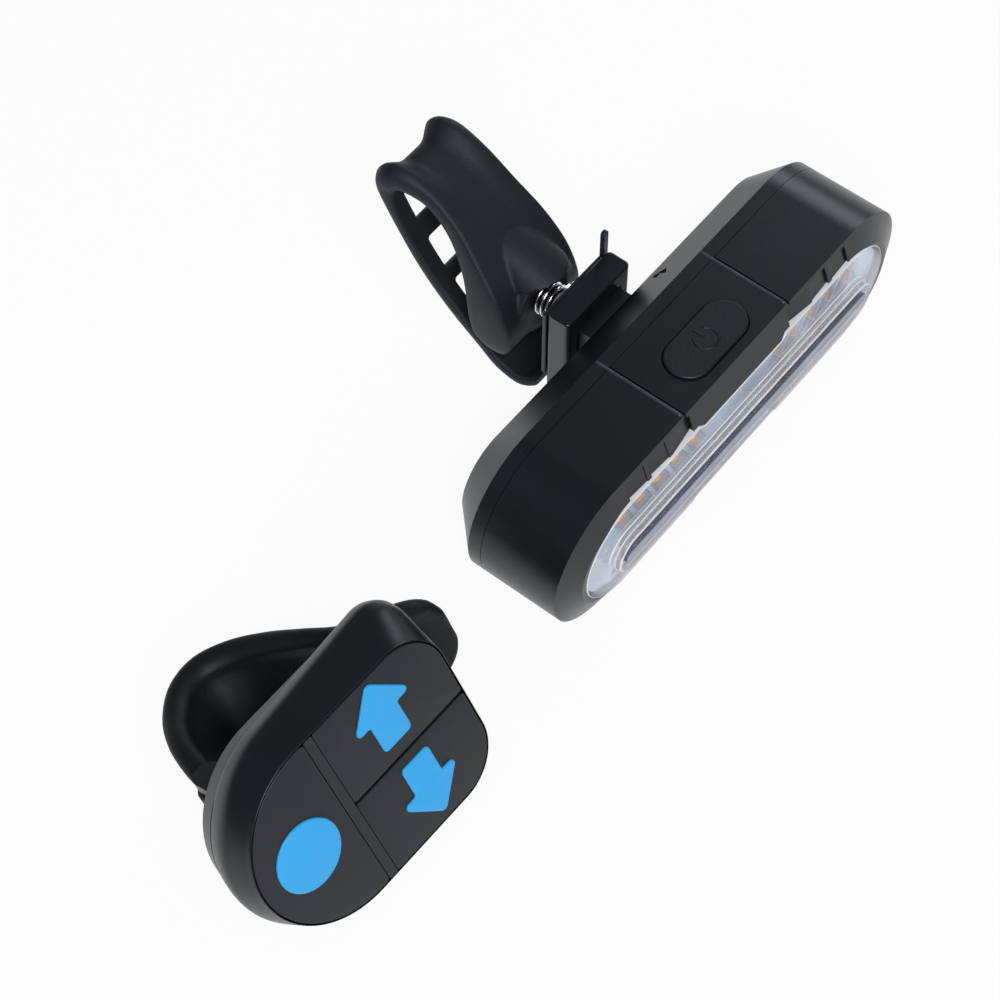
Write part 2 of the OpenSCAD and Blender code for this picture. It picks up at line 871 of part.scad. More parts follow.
// Nylon hook under the strap's base, through the last slot of the band
module strap_hook() {
    hook_w = slot_w - 3;
    shank = 2.4;
    lip = 2.2;
    lip_t = 1.4;
    reach = band_t / 2 + soft_gap;
    color("#26282b")
        on_ground()
            translate([0, strap_y0 + hook_slot[0], hook_slot[1]])
                rotate([hook_slot[2], 0, 0])
                    translate([-hook_w / 2, 0, 0]) {
                        translate([0, -shank / 2, -reach - lip_t])
                            cube([hook_w, shank, 2 * reach + lip_t]);
                        translate([0, -shank / 2, -reach - lip_t])
                            cube([hook_w, shank + lip + slot_len / 2 - shank / 2, lip_t]);
                    }
}

// The remote leans back on its own strap. Its frame has x along the keys, y up the face and
// z out of the face, with the middle of the round insert at the origin
remote_lean = 64.1;
remote_roll = -3.8;
remote_turn = -2.1;
remote_place = [-111.7, -8.5];
round_x = 7.3;
corner_x = round_x + remote_run;
corner_y = remote_r - remote_corner;
shoulder_w = 5.1;
remote_back_w = remote_front_d + remote_back_d;
back_inset = 1.05;
part_out = 0.6;
rib_x = 9.2;
roll_sin = sin(-remote_roll);
lean_up = cos(remote_roll) * sin(remote_lean);
lean_out = cos(remote_roll) * cos(remote_lean);
back_chamfer = [0.8, 1.2];
back_edge_w = remote_back_w - back_chamfer[1];
remote_z = (remote_r - back_inset / 2) * sqrt(roll_sin * roll_sin + lean_up * lean_up)
    - round_x * roll_sin + lean_out * back_edge_w;

module at_remote() {
    translate([remote_place[0], remote_place[1], remote_z])
        rotate([remote_lean, remote_roll, remote_turn])
            children();
}

// Slab of the remote between two depths behind its key face
module slab(w0, w1) {
    translate([0, 0, -w1])
        linear_extrude(w1 - w0)
            children();
}

// Outline of the remote, grown outwards by out
module remote_outline(out) {
    r = remote_r + out;
    c = remote_corner + out;
    translate([round_x, 0])
        circle(r);
    translate([round_x, -r])
        square([remote_run, 2 * r]);
    translate([corner_x - sink, -corner_y])
        square([c + sink, 2 * corner_y]);
    for (side = [-1, 1])
        translate([corner_x, side * corner_y])
            circle(c);
}

// The remote's outline between two depths, growing from out0 to out1
module remote_taper(w0, w1, out0, out1) {
    r0 = remote_r + out0;
    r1 = remote_r + out1;
    c0 = remote_corner + out0;
    c1 = remote_corner + out1;
    h = w1 - w0;
    translate([round_x, 0, -w1])
        cylinder(h = h, r1 = r1, r2 = r0);
    for (side = [-1, 1])
        translate([corner_x, side * corner_y, -w1])
            cylinder(h = h, r1 = c1, r2 = c0);
    translate([round_x, 0, 0])
        rotate([90, 0, 90])
            linear_extrude(remote_run)
                polygon([[-r1, -w1], [r1, -w1], [r0, -w0], [-r0, -w0]]);
    translate([0, corner_y, 0])
        rotate([90, 0, 0])
            linear_extrude(2 * corner_y)
                polygon([
                    [round_x, -w1],
                    [corner_x + c1, -w1],
                    [corner_x + c0, -w0],
                    [round_x, -w0]
                ]);
}

// Screw bosses of the remote, each [x, y, direction of its rib to the wall]
boss_angle = 150;
boss_reach = remote_r - 3.8;
corner_reach = 3.8;
remote_bosses = [
    for (side = [-1, 1])
        each [
            [round_x + boss_reach * cos(boss_angle), side * boss_reach * sin(boss_angle), side * boss_angle],
            [corner_x + corner_reach, side * (corner_y + corner_reach), side * 45]
        ]
];
remote_boss_r = 2;
remote_boss_w = 4.2;
remote_boss_gap = 1.3;
remote_screw_r = 0.8;
remote_head_r = 1.6;
remote_head_depth = 1.6;

module remote_front_shell() {
    rib_w1 = 2.6;
    rib_wall = 4.5;
    boss_rib_t = 1.2;
    boss_len = remote_front_d - remote_boss_gap - remote_boss_w;
    pilot_end = 0.8;
    brow_w = 2.4;
    brow_out = 0.95;
    rim_out = 0.3;
    color("#1a1b1d")
        at_remote()
            difference() {
                union() {
                    difference() {
                        union() {
                            remote_taper(0, brow_w, rim_out, brow_out);
                            remote_taper(brow_w, shoulder_w, brow_out, shoulder_out);
                            remote_taper(shoulder_w, remote_front_d, shoulder_out, part_out);
                        }
                        slab(-over, remote_front_d + over)
                            remote_outline(0);
                    }
                    slab(fit_gap / 2, rib_w1)
                        intersection() {
                            remote_outline(rim_out);
                            translate([rib_x, -2 * remote_r])
                                square([rib_w, 4 * remote_r]);
                        }
                    for (boss = remote_bosses)
                        translate([boss[0], boss[1], -remote_front_d + remote_boss_gap])
                            cylinder(h = boss_len, r = remote_boss_r);
                    for (boss = remote_bosses)
                        translate([boss[0], boss[1], -remote_front_d + remote_boss_gap])
                            rotate([0, 0, boss[2]])
                                translate([0, -boss_rib_t / 2, 0])
                                    cube([rib_wall, boss_rib_t, boss_len]);
                }
                for (boss = remote_bosses)
                    translate([boss[0], boss[1], -remote_front_d])
                        cylinder(h = remote_front_d - remote_boss_w - pilot_end, r = remote_screw_r + run_gap);
            }
}

bar_x = -0.6;
bar_w = remote_back_w + 3.2;
bar_r = 1.5;
ear_half = 9.4;
ear_t = 2;
module remote_back_shell() {
    floor_t = 1.6;
    wall_in = 1.7;
    boss_wall = 0.6;
    boss_sink = 0.3;
    ear_r = bar_r + 1;
    ear_foot = 1.5;
    bore_r = remote_screw_r + 0.15;
    head_bore_r = remote_head_r + 0.15;
    color("#1a1b1d")
        at_remote()
            difference() {
                union() {
                    difference() {
                        union() {
                            remote_taper(remote_front_d + fit_gap, back_edge_w, part_out, -back_inset / 2);
                            remote_taper(back_edge_w, remote_back_w, -back_inset / 2,
                                -back_inset - back_chamfer[0]);
                        }
                        slab(remote_front_d - over, remote_back_w - floor_t)
                            remote_outline(-wall_in);
                    }
                    for (boss = remote_bosses)
                        translate([boss[0], boss[1], -remote_back_w + boss_sink])
                            cylinder(h = remote_back_d + remote_boss_gap - fit_gap - boss_sink,
                                r = remote_boss_r + boss_wall);
                    for (side = [-1, 1])
                        translate([bar_x, side * (ear_half + ear_t / 2), 0])
                            rotate([90, 0, 0])
                                linear_extrude(ear_t, center = true) {
                                    translate([0, -bar_w])
                                        circle(ear_r);
                                    translate([-ear_r, -bar_w])
                                        square([2 * ear_r + ear_foot, bar_w - remote_back_w + over]);
                                }
                    translate([bar_x, ear_half + ear_t / 2, -bar_w])
                        rotate([90, 0, 0])
                            cylinder(h = 2 * ear_half + ear_t, r = bar_r);
                }
                for (boss = remote_bosses)
                    translate([boss[0], boss[1], -remote_back_w - over]) {
                        cylinder(h = 2 * remote_back_d, r = bore_r);
                        cylinder(h = over + remote_head_depth, r = head_bore_r);
                    }
            }
}

module remote_gasket() {
    seal_t = 0.9;
    color("#5a5d60")
        at_remote()
            slab(remote_front_d - seal_t, remote_front_d)
                difference() {
                    remote_outline(-fit_gap);
                    remote_outline(-seal_t);
                }
}

// Places of the three switches under the keys
key_centre_x = (rib_x + rib_w + corner_x + remote_corner) / 2;
arrow_y = 8.6;
switch_places = [[0, 0], [key_centre_x, arrow_y], [key_centre_x, -arrow_y]];
key_t = 2.3;
membrane_w = key_t + key_travel + fit_gap;
membrane_t = 0.6;
nub_h = 0.5;
nub_r = 1.6;
switch_room = 1.8;
remote_board_w = membrane_w + membrane_t + nub_h + switch_room;
remote_board_t = 1.2;

module key_membrane() {
    color("#3f4145")
        at_remote() {
            slab(membrane_w, membrane_w + membrane_t)
                remote_outline(-fit_gap);
            for (place = switch_places)
                translate([place[0], place[1], -membrane_w - membrane_t - nub_h])
                    cylinder(h = nub_h + sink, r = nub_r);
        }
}

module remote_board() {
    board_inset = 0.3;
    color("#1f6b45")
        at_remote()
            slab(remote_board_w, remote_board_w + remote_board_t)
                difference() {
                    remote_outline(-board_inset);
                    for (boss = remote_bosses)
                        translate([boss[0], boss[1]])
                            rotate(boss[2]) {
                                circle(remote_boss_r + fit_gap);
                                translate([0, -remote_boss_r - fit_gap])
                                    square([remote_r, 2 * (remote_boss_r + fit_gap)]);
                            }
                }
}

module remote_switches() {
    case_side = 5.2;
    case_t = 1.4;
    plunger_h = 0.3;
    plunger_r = 1.2;
    color("#2c2e31")
        at_remote()
            for (place = switch_places)
                translate([place[0], place[1], -remote_board_w + fit_gap / 2]) {
                    translate([0, 0, case_t / 2])
                        cube([case_side, case_side, case_t], center = true);
                    cylinder(h = case_t + plunger_h, r = plunger_r);
                }
}

cell_x = 15;
cell_r = 10;
cell_t = 3.2;
cell_w = remote_board_w + remote_board_t + fit_gap / 2;
module coin_cell() {
    rim = 0.6;
    rim_in = 1.2;
    color("#c6c9cd")
        at_remote()
            translate([cell_x, 0, -cell_w - cell_t]) {
                cylinder(h = cell_t - rim, r = cell_r);
                cylinder(h = cell_t, r = cell_r - rim_in);
            }
}

module cell_contact() {
    strip_w = 5;
    strip_t = 0.4;
    half = cell_r + fit_gap;
    color("#d0c08a")
        at_remote()
            translate([cell_x, strip_w / 2, -cell_w])
                rotate([90, 0, 0])
                    linear_extrude(strip_w)
                        difference() {
                            translate([-half - strip_t, -cell_t - fit_gap - strip_t])
                                square([2 * (half + strip_t), cell_t + fit_gap + strip_t]);
                            translate([-half, -cell_t - fit_gap])
                                square([2 * half, cell_t + fit_gap + over]);
                        }
}

module remote_screws() {
    head_t = 1.05;
    seat_gap = 0.05;
    drive_r = 0.75;
    drive_depth = 0.6;
    color("#8a8d92")
        at_remote()
            for (boss = remote_bosses)
                translate([boss[0], boss[1], -remote_back_w + remote_head_depth - seat_gap])
                    difference() {
                        union() {
                            translate([0, 0, -head_t])
                                cylinder(h = head_t, r = remote_head_r);
                            translate([0, 0, -sink])
                                cylinder(h = remote_back_d + remote_head_depth + sink, r = remote_screw_r);
                        }
                        translate([0, 0, -head_t - over])
                            cylinder(h = over + drive_depth, r = drive_r, $fn = 6);
                    }
}

// The remote's strap, in its frame: [x, depth, thickness, half width, shift up]
loop_skew = 0.18;
loop_start = remote_back_w + 1.5;
function loop_point(x, depth, thick, half_w) =
    [x, depth, thick, half_w, loop_skew * max(0, depth - loop_start)];
remote_strap_points = [
    loop_point(bar_x + 0.6, bar_w + 2.2, band_t + 0.2, 8.2),
    loop_point(0.5, 23.8, band_t + 0.2, 8.8),
    loop_point(1.9, 29.4, band_t, 8.8),
    loop_point(5, 35, band_t, 7.8),
    loop_point(10, 39.2, band_t, 7.1),
    loop_point(15.6, 40, band_t, 7),
    loop_point(20.8, 37, band_t, 7.4),
    loop_point(24.8, 31.6, band_t, 8.6),
    loop_point(28.2, 25.6, band_t, 9.8),
    loop_point(31.6, 20.8, band_t, 10.5),
    loop_point(36, 17.6, band_t, 10.5),
    loop_point(40, 16.1, band_t, 10.4),
    loop_point(43.2, 15.2, band_t, 9.8),
    loop_point(45.8, 14.6, band_t, 8),
    loop_point(47.3, 14.2, band_t, 4.8)
];
remote_slots = [[32.6, 19.85, -40], [26.4, 28.8, -60]];

module remote_strap() {
    path = smooth_path(remote_strap_points, 4);
    eye_r = bar_w - remote_back_w - fit_gap;
    eye_half = 8.8;
    slot_cut = 2.4 * band_t;
    color("#1c1d1f")
        at_remote()
            difference() {
                union() {
                    rotate(180, [1, 1, 0])
                        band(path);
                    translate([bar_x, 0, -bar_w])
                        rotate([90, 0, 0])
                            cylinder(h = 2 * eye_half, r = eye_r, center = true);
                }
                translate([bar_x, 0, -bar_w])
                    rotate([90, 0, 0])
                        cylinder(h = 4 * eye_half, r = bar_r + fit_gap, center = true);
                for (slot = remote_slots)
                    translate([slot[0], loop_skew * max(0, slot[1] - loop_start), -slot[1]])
                        rotate([0, slot[2], 0])
                            cube([slot_len, slot_w, slot_cut], center = true);
            }
}

// Hook on the remote's back that holds the strap by one of its slots
module remote_hook() {
    shank = 2.2;
    hook_w = slot_w - 4;
    hook_x = 32.4;
    hook_top = 21.6;
    lip = 2.6;
    lip_t = 1.3;
    color("#26282b")
        at_remote()
            translate([hook_x - shank / 2, hook_w / 2, 0])
                rotate([90, 0, 0])
                    linear_extrude(hook_w) {
                        translate([0, -hook_top])
                            square([shank, hook_top - remote_back_w]);
                        translate([0, -hook_top])
                            square([shank + lip, lip_t]);
                    }
}

// Keys of the remote: each is the key face cut to its own field, with a pocket for its insert
insert_proud = 0.35;
insert_d = 0.8;
module key_field(name) {
    half = 2 * remote_r;
    cut = rib_x - fit_gap;
    start = rib_x + rib_w + fit_gap;
    groove = 0.25;
    intersection() {
        remote_outline(-0.25);
        if (name == "mode")
            translate([cut - 2 * half, -half])
                square([2 * half, 2 * half]);
        else
            translate([start, name == "left" ? groove : -half - groove])
                square([2 * half, half]);
    }
}

module insert_shape(name, grow) {
    if (name == "mode")
        circle(dot_r + grow);
    else
        mirror([0, name == "left" ? 0 : 1])
            translate([key_centre_x, 0])
                arrow_shape(grow);
}

// Arrow with its tip up, drawn from the groove outwards
module arrow_shape(grow) {
    tail_y = 2.2;
    neck_y = 8.6;
    tip_y = 15.2;
    shaft = 3.15;
    barb = 6.5;
    polygon([
        [-shaft - grow, tail_y - grow],
        [shaft + grow, tail_y - grow],
        [shaft + grow, neck_y - grow],
        [barb + 2 * grow, neck_y - grow],
        [0, tip_y + 1.4 * grow],
        [-barb - 2 * grow, neck_y - grow],
        [-shaft - grow, neck_y - grow]
    ]);
}

module key(name) {
    color("#1e2023")
        at_remote()
            difference() {
                slab(0, key_t)
                    key_field(name);
                slab(-over, insert_d + run_gap)
                    insert_shape(name, run_gap);
            }
}

module insert(name) {
    color("#49b0ea")
        at_remote()
            slab(-insert_proud, insert_d)
                insert_shape(name, 0);
}

module mode_key() { key("mode"); }
module mode_insert() { insert("mode"); }
module left_key() { key("left"); }
module left_arrow() { insert("left"); }
module right_key() { key("right"); }
module right_arrow() { insert("right"); }

front_housing();
lens();
reflector();
led_board();
amber_lamps();
light_strip();
tact_switch();
battery_pack();
charge_socket();
port_plug();
power_button();
cover_gasket();
rear_cover();
cover_screws();
bracket();
release_lever();
spring_washer();
pivot_spring();
pivot_bush();
pivot_screw();
strap();
strap_hook();
remote_front_shell();
remote_back_shell();
remote_gasket();
key_membrane();
remote_board();
remote_switches();
coin_cell();
cell_contact();
remote_screws();
remote_strap();
remote_hook();
mode_key();
mode_insert();
left_key();
left_arrow();
right_key();
right_arrow();
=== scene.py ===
import bmesh
import bpy
import numpy as np
from mathutils import Matrix


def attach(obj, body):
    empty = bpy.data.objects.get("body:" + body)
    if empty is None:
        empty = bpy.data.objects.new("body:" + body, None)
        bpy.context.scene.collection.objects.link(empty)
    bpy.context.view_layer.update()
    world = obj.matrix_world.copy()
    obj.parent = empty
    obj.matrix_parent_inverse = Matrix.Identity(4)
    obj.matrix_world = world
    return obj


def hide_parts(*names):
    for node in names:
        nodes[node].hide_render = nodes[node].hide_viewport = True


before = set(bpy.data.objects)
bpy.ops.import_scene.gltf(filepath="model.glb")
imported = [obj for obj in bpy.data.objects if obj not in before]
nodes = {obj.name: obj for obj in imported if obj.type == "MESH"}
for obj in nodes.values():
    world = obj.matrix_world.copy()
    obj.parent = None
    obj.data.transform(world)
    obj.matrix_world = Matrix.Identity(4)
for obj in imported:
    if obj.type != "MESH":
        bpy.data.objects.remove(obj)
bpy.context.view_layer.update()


# Front housing: one injection-moulded shell of satin black ABS, a bar with round ends. Its front slopes
# in to the lens opening, with saw-tooth facets beside two tabs, and two fine grooves, each with a soft
# raised edge, cross its top.
def finish_of(name, colour, roughness, grain, depth, tint=0.25, specular=0.5, dust=0, metal=0):
    """Moulded finish: noise of the given grain (m) changes the roughness a little and lifts the surface
    by depth (m), a broad noise shades the colour by tint, and the peaks of a third carry pale dust. Metal is
    1 for a bare metal."""
    mat = bpy.data.materials.new(name)
    mat.use_nodes = True
    tree = mat.node_tree
    bsdf = tree.nodes["Principled BSDF"]
    place = tree.nodes.new("ShaderNodeTexCoord")
    fine = tree.nodes.new("ShaderNodeTexNoise")
    fine.inputs["Scale"].default_value = 1 / grain
    fine.inputs["Detail"].default_value = 3
    broad = tree.nodes.new("ShaderNodeTexNoise")
    broad.inputs["Scale"].default_value = 90
    broad.inputs["Detail"].default_value = 4
    for noise in (fine, broad):
        tree.links.new(place.outputs["Object"], noise.inputs["Vector"])
    shade = tree.nodes.new("ShaderNodeValToRGB")
    shade.color_ramp.elements[0].position = 0.3
    shade.color_ramp.elements[1].position = 0.7
    shade.color_ramp.elements[0].color = [c * (1 - tint) for c in colour] + [1]
    shade.color_ramp.elements[1].color = [min(1, c * (1 + tint)) for c in colour] + [1]
    tree.links.new(broad.outputs["Fac"], shade.inputs["Fac"])
    painted = shade.outputs["Color"]
    if dust > 0:
        speck = tree.nodes.new("ShaderNodeTexNoise")
        speck.inputs["Scale"].default_value = 2600
        speck.inputs["Detail"].default_value = 1
        tree.links.new(place.outputs["Object"], speck.inputs["Vector"])
        peaks = tree.nodes.new("ShaderNodeMapRange")
        peaks.inputs["From Min"].default_value = 0.66
        peaks.inputs["From Max"].default_value = 0.78
        peaks.inputs["To Max"].default_value = dust
        tree.links.new(speck.outputs["Fac"], peaks.inputs["Value"])
        dusted = tree.nodes.new("ShaderNodeMix")
        dusted.data_type = "RGBA"
        dusted.inputs["B"].default_value = (0.3, 0.31, 0.33, 1)
        tree.links.new(peaks.outputs["Result"], dusted.inputs["Factor"])
        tree.links.new(painted, dusted.inputs["A"])
        painted = dusted.outputs["Result"]
    tree.links.new(painted, bsdf.inputs["Base Color"])
    gloss = tree.nodes.new("ShaderNodeMapRange")
    gloss.inputs["To Min"].default_value = roughness * 0.85
    gloss.inputs["To Max"].default_value = min(1, roughness * 1.15)
    tree.links.new(fine.outputs["Fac"], gloss.inputs["Value"])
    tree.links.new(gloss.outputs["Result"], bsdf.inputs["Roughness"])
    bump = tree.nodes.new("ShaderNodeBump")
    bump.inputs["Strength"].default_value = 1
    bump.inputs["Distance"].default_value = depth
    tree.links.new(fine.outputs["Fac"], bump.inputs["Height"])
    tree.links.new(bump.outputs["Normal"], bsdf.inputs["Normal"])
    bsdf.inputs["Specular IOR Level"].default_value = specular
    # Every reflection is tinted cool here: a painted cool cast that stands in for the colour of the light.
    bsdf.inputs["Specular Tint"].default_value = (0.84, 0.91, 1, 1)
    bsdf.inputs["Metallic"].default_value = metal
    return mat


def dress(piece, mat, body):
    """Gives a piece its material and the body that it rides on."""
    piece.data.materials.clear()
    piece.data.materials.append(mat)
    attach(piece, body)
    return piece


def softened(name, node, width):
    """Copy of a rigid CAD node with its flat faces joined, its sharp edges rounded to width (m) and its
    shading led by the large faces."""
    mesh = nodes[node].data.copy()
    work = bmesh.new()
    work.from_mesh(mesh)
    bmesh.ops.remove_doubles(work, verts=work.verts, dist=2e-6)
    bmesh.ops.dissolve_limit(work, angle_limit=0.01, verts=work.verts, edges=work.edges)
    work.to_mesh(mesh)
    work.free()
    piece = bpy.data.objects.new(name, mesh)
    bpy.context.collection.objects.link(piece)
    mesh.shade_smooth()
    bevel = piece.modifiers.new("rounded edges", "BEVEL")
    bevel.width = width
    bevel.segments = 3
    bevel.limit_method = "ANGLE"
    bevel.angle_limit = np.radians(15)
    even = piece.modifiers.new("even faces", "WEIGHTED_NORMAL")
    even.weight = 100
    even.keep_sharp = False
    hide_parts(node)
    return piece


def grid_piece(name, points, around=False, caps=False):
    """Mesh of quads over a grid of points (rows, columns, 3) in metres; around closes the columns, and
    caps closes the first and the last row with one face each."""
    rows, cols = points.shape[:2]
    index = np.arange(rows * cols).reshape(rows, cols)
    faces = []
    if caps:
        faces = [index[0, ::-1].tolist(), index[-1].tolist()]
    if around:
        index = np.concatenate([index, index[:, :1]], axis=1)
    quads = np.stack([index[:-1, :-1], index[:-1, 1:], index[1:, 1:], index[1:, :-1]], axis=-1)
    mesh = bpy.data.meshes.new(name)
    mesh.from_pydata(points.reshape(-1, 3), [], quads.reshape(-1, 4).tolist() + faces)
    piece = bpy.data.objects.new(name, mesh)
    bpy.context.collection.objects.link(piece)
    mesh.shade_smooth()
    return piece


def tidy_mesh(piece, reach=2e-6):
    """Joins points that meet and turns every face outwards."""
    work = bmesh.new()
    work.from_mesh(piece.data)
    bmesh.ops.remove_doubles(work, verts=work.verts, dist=reach)
    bmesh.ops.dissolve_degenerate(work, edges=work.edges, dist=reach / 2)
    bmesh.ops.recalc_face_normals(work, faces=work.faces)
    work.to_mesh(piece.data)
    work.free()
    piece.data.shade_smooth()
    return piece


def wire_grid(path, radius, up, sides=14):
    """Wire along a path (points, 3): at each point a ring of the radius, square to the path, and the
    end rings drawn to points."""
    along = np.gradient(path, axis=0)
    along /= np.linalg.norm(along, axis=1)[:, None]
    side = np.cross(along, up)
    side /= np.linalg.norm(side, axis=1)[:, None]
    over = np.cross(side, along)
    a = np.linspace(0, 2 * np.pi, sides, endpoint=False)
    ring = np.cos(a)[None, :, None] * side[:, None] + np.sin(a)[None, :, None] * over[:, None]
    rings = path[:, None] + radius * ring
    first = path[:1, None].repeat(sides, 1)
    last = path[-1:, None].repeat(sides, 1)
    return np.concatenate([first, rings, last])


def wire_piece(name, path, radius, up):
    """Closed wire of the radius along a path, both in mm."""
    return tidy_mesh(grid_piece(name, wire_grid(path, radius, up) * 1e-3, around=True))


satin_black = finish_of("satin_black_abs", (0.0052, 0.0056, 0.0066), 0.34, 0.00028, 0.000012, dust=0.02)
housing = softened("housing_shell", "front_housing", 0.00045)
dress(housing, satin_black, "light")
# The groove edges are the shell's ABS painted about eight times lighter: a painted highlight along each
# groove.
groove_bead_highlight_paint = finish_of("groove_bead_painted_highlight", (0.045, 0.047, 0.055), 0.34, 0.00028, 0.000006)
groove_x, groove_off, edge_z, edge_r = 15, -0.2, 31.42, 0.36
groove_run = np.linspace(-8.9, 9.1, 30)
for side, name in ((-1, "left_groove_edge"), (1, "right_groove_edge")):
    level = 0 * groove_run
    line = np.stack([level + side * groove_x + groove_off, groove_run, level + edge_z], axis=-1)
    dress(wire_piece(name, line, edge_r, (0, 0, 1)), groove_bead_highlight_paint, "light")


# Rear cover: the second half of the shell, in the same ABS, with a sloped edge and a T rail moulded on
# its back. Two screws draw it onto a rubber gasket. A small arrow and a block, printed on the slope,
# show where the bracket is released.
def repaint(node, mat):
    """Gives a CAD node that stays in view its procedural material."""
    for slot in nodes[node].material_slots:
        slot.material = mat


cover = softened("rear_shell", "rear_cover", 0.00045)
dress(cover, satin_black, "light")
zinc = finish_of("zinc_plated_steel", (0.5, 0.51, 0.53), 0.3, 0.0002, 0.000004, metal=1)
repaint("cover_screws", zinc)
grey_rubber = finish_of("grey_silicone", (0.12, 0.125, 0.13), 0.6, 0.0003, 0.00001)
repaint("cover_gasket", grey_rubber)
mark_ink = finish_of("mark_ink", (0.006, 0.006, 0.008), 0.9, 0.0003, 0.000004, specular=0.03)
slope_out = np.array([0, 1, 1]) / np.sqrt(2)
slope_up = np.array([0, -1, 1]) / np.sqrt(2)
ink_under, ink_over = 0.15, 0.05
triangle = np.array([(-0.5, -1.2), (0.9, 0), (-0.5, 1.2)])
square = np.array([(-0.45, -0.5), (0.45, -0.5), (0.45, 0.5), (-0.45, 0.5)])
for name, outline, mid in (("release_mark_arrow", triangle, (10.1, 13.4, 27.4)),
                           ("release_mark_block", square, (8.95, 14.1, 26.7))):
    flat = np.array(mid) + outline[:, :1] * [1, 0, 0] + outline[:, 1:] * slope_up
    rings = np.stack([flat - ink_under * slope_out, flat + ink_over * slope_out]) * 1e-3
    mark = tidy_mesh(grid_piece(name, rings, around=True, caps=True))
    dress(mark, mark_ink, "light")


# Lens: one injection moulding of clear polycarbonate, held by a lip behind the bezel. Its rounded edges
# and side walls are painted as a highlight, in a near opaque, whiter copy of the clear material.
def clear_plastic(name, colour, roughness, ripple, cover, clear=1):
    """Clear moulding: the share clear of its light refracts as in polycarbonate, with a slow ripple (m)
    in its surface. The cover, its alpha, lets the rest straight through, so that what lies behind is lit."""
    mat = bpy.data.materials.new(name)
    mat.use_nodes = True
    tree = mat.node_tree
    bsdf = tree.nodes["Principled BSDF"]
    bsdf.inputs["Base Color"].default_value = (*colour, 1)
    bsdf.inputs["Roughness"].default_value = roughness
    bsdf.inputs["IOR"].default_value = 1.5
    bsdf.inputs["Transmission Weight"].default_value = clear
    bsdf.inputs["Alpha"].default_value = cover
    place = tree.nodes.new("ShaderNodeTexCoord")
    wave = tree.nodes.new("ShaderNodeTexNoise")
    wave.inputs["Scale"].default_value = 400
    bump = tree.nodes.new("ShaderNodeBump")
    bump.inputs["Distance"].default_value = ripple
    tree.links.new(place.outputs["Object"], wave.inputs["Vector"])
    tree.links.new(wave.outputs["Fac"], bump.inputs["Height"])
    tree.links.new(bump.outputs["Normal"], bsdf.inputs["Normal"])
    return mat


def face_values(piece, what):
    """Normal or center of each face of a piece, as rows of three."""
    values = np.empty(len(piece.data.polygons) * 3)
    piece.data.polygons.foreach_get(what, values)
    return values.reshape(-1, 3)


def second_finish(piece, mat, picked):
    """Adds a second material to a piece and gives it to the picked faces."""
    piece.data.materials.append(mat)
    piece.data.polygons.foreach_set("material_index", picked.astype(np.int32))


lens_clear = clear_plastic("clear_polycarbonate", (0.93, 0.96, 1), 0.02, 0.000004, 0.2)
# The lens's rounded edges and its side walls away from the bar get this whiter, near opaque copy of the
# clear material: a painted highlight.
lens_highlight_paint = clear_plastic("lens_rim_painted_highlight", (0.95, 0.97, 1), 0.25, 0.000004, 0.8, clear=0.2)
lens = softened("lens_window", "lens", 0.00022)
dress(lens, lens_clear, "light")
bar_half_len, bar_half_wide, bar_z = 37.5, 4.65, 15.8
bar_reach = 6
middle = face_values(lens, "center") * 1e3
past_bar = np.clip(np.abs(middle[:, 0]) - (bar_half_len - bar_half_wide), 0, None)
off_bar = np.hypot(past_bar, middle[:, 2] - bar_z)
highlight_walls = (np.abs(face_values(lens, "normal")[:, 1]) < 0.5) & (off_bar > bar_reach)
second_finish(lens, lens_highlight_paint, highlight_walls)
lens.modifiers["rounded edges"].material = 1


# Reflector and lamps: a glossy white moulding that fills the lens, with a slanted well round each of the
# amber resin lamps. Its faces are painted a dim blue-grey and its rounded edges near white, as a painted
# highlight. The lamps are soldered to a white board behind it.
white_gloss = finish_of("white_reflector_gloss", (0.5, 0.57, 0.7), 0.25, 0.0004, 0.000006, tint=0.35)
# The rounded edges get a near white copy of the reflector's colour: a painted highlight.
reflector_highlight_paint = finish_of("reflector_edge_painted_highlight", (0.9, 0.92, 0.96), 0.2, 0.0004, 0.000003, tint=0.05)
reflector = softened("reflector_tray", "reflector", 0.0002)
dress(reflector, white_gloss, "light")
reflector.data.materials.append(reflector_highlight_paint)
reflector.modifiers["rounded edges"].material = 1
amber = finish_of("amber_lamp_resin", (1, 0.4, 0.03), 0.25, 0.0004, 0.000006, tint=0.15)
repaint("amber_lamps", amber)
white_mask = finish_of("white_solder_mask", (0.7, 0.73, 0.78), 0.4, 0.0003, 0.000006, tint=0.08)
repaint("led_board", white_mask)


# Light bar: the raised front of the lens, a clear rounded bar over a smoked inlay with a frosted face. A
# thin ring round the bar's rounded front edge is painted as a highlight. The clear moulded strip behind the
# bar spreads the light along it.
def bar_grid(half_len, half_wide, profile, steps=24):
    """Rounded bar on the lens: rings of a stadium outline, each drawn in and set at y by a profile row."""
    a = np.linspace(-np.pi / 2, np.pi / 2, steps)
    turn = np.concatenate([a, a + np.pi])
    inset, y = np.array(profile)[:, :1], np.array(profile)[:, 1:]
    shift = np.repeat([half_len - half_wide, half_wide - half_len], steps)
    x = shift + (half_wide - inset) * np.cos(turn)
    return np.stack([x, y + 0 * turn, bar_z + (half_wide - inset) * np.sin(turn)], axis=-1) * 1e-3


bar_profile = [(0, -12.35), (0.05, -12.8), (0.2, -13.2), (0.5, -13.45), (0.9, -13.55)]
bar_rings = bar_grid(bar_half_len, bar_half_wide, bar_profile)
bar = tidy_mesh(grid_piece("light_bar", bar_rings, around=True, caps=True))
dress(bar, lens_clear, "light")
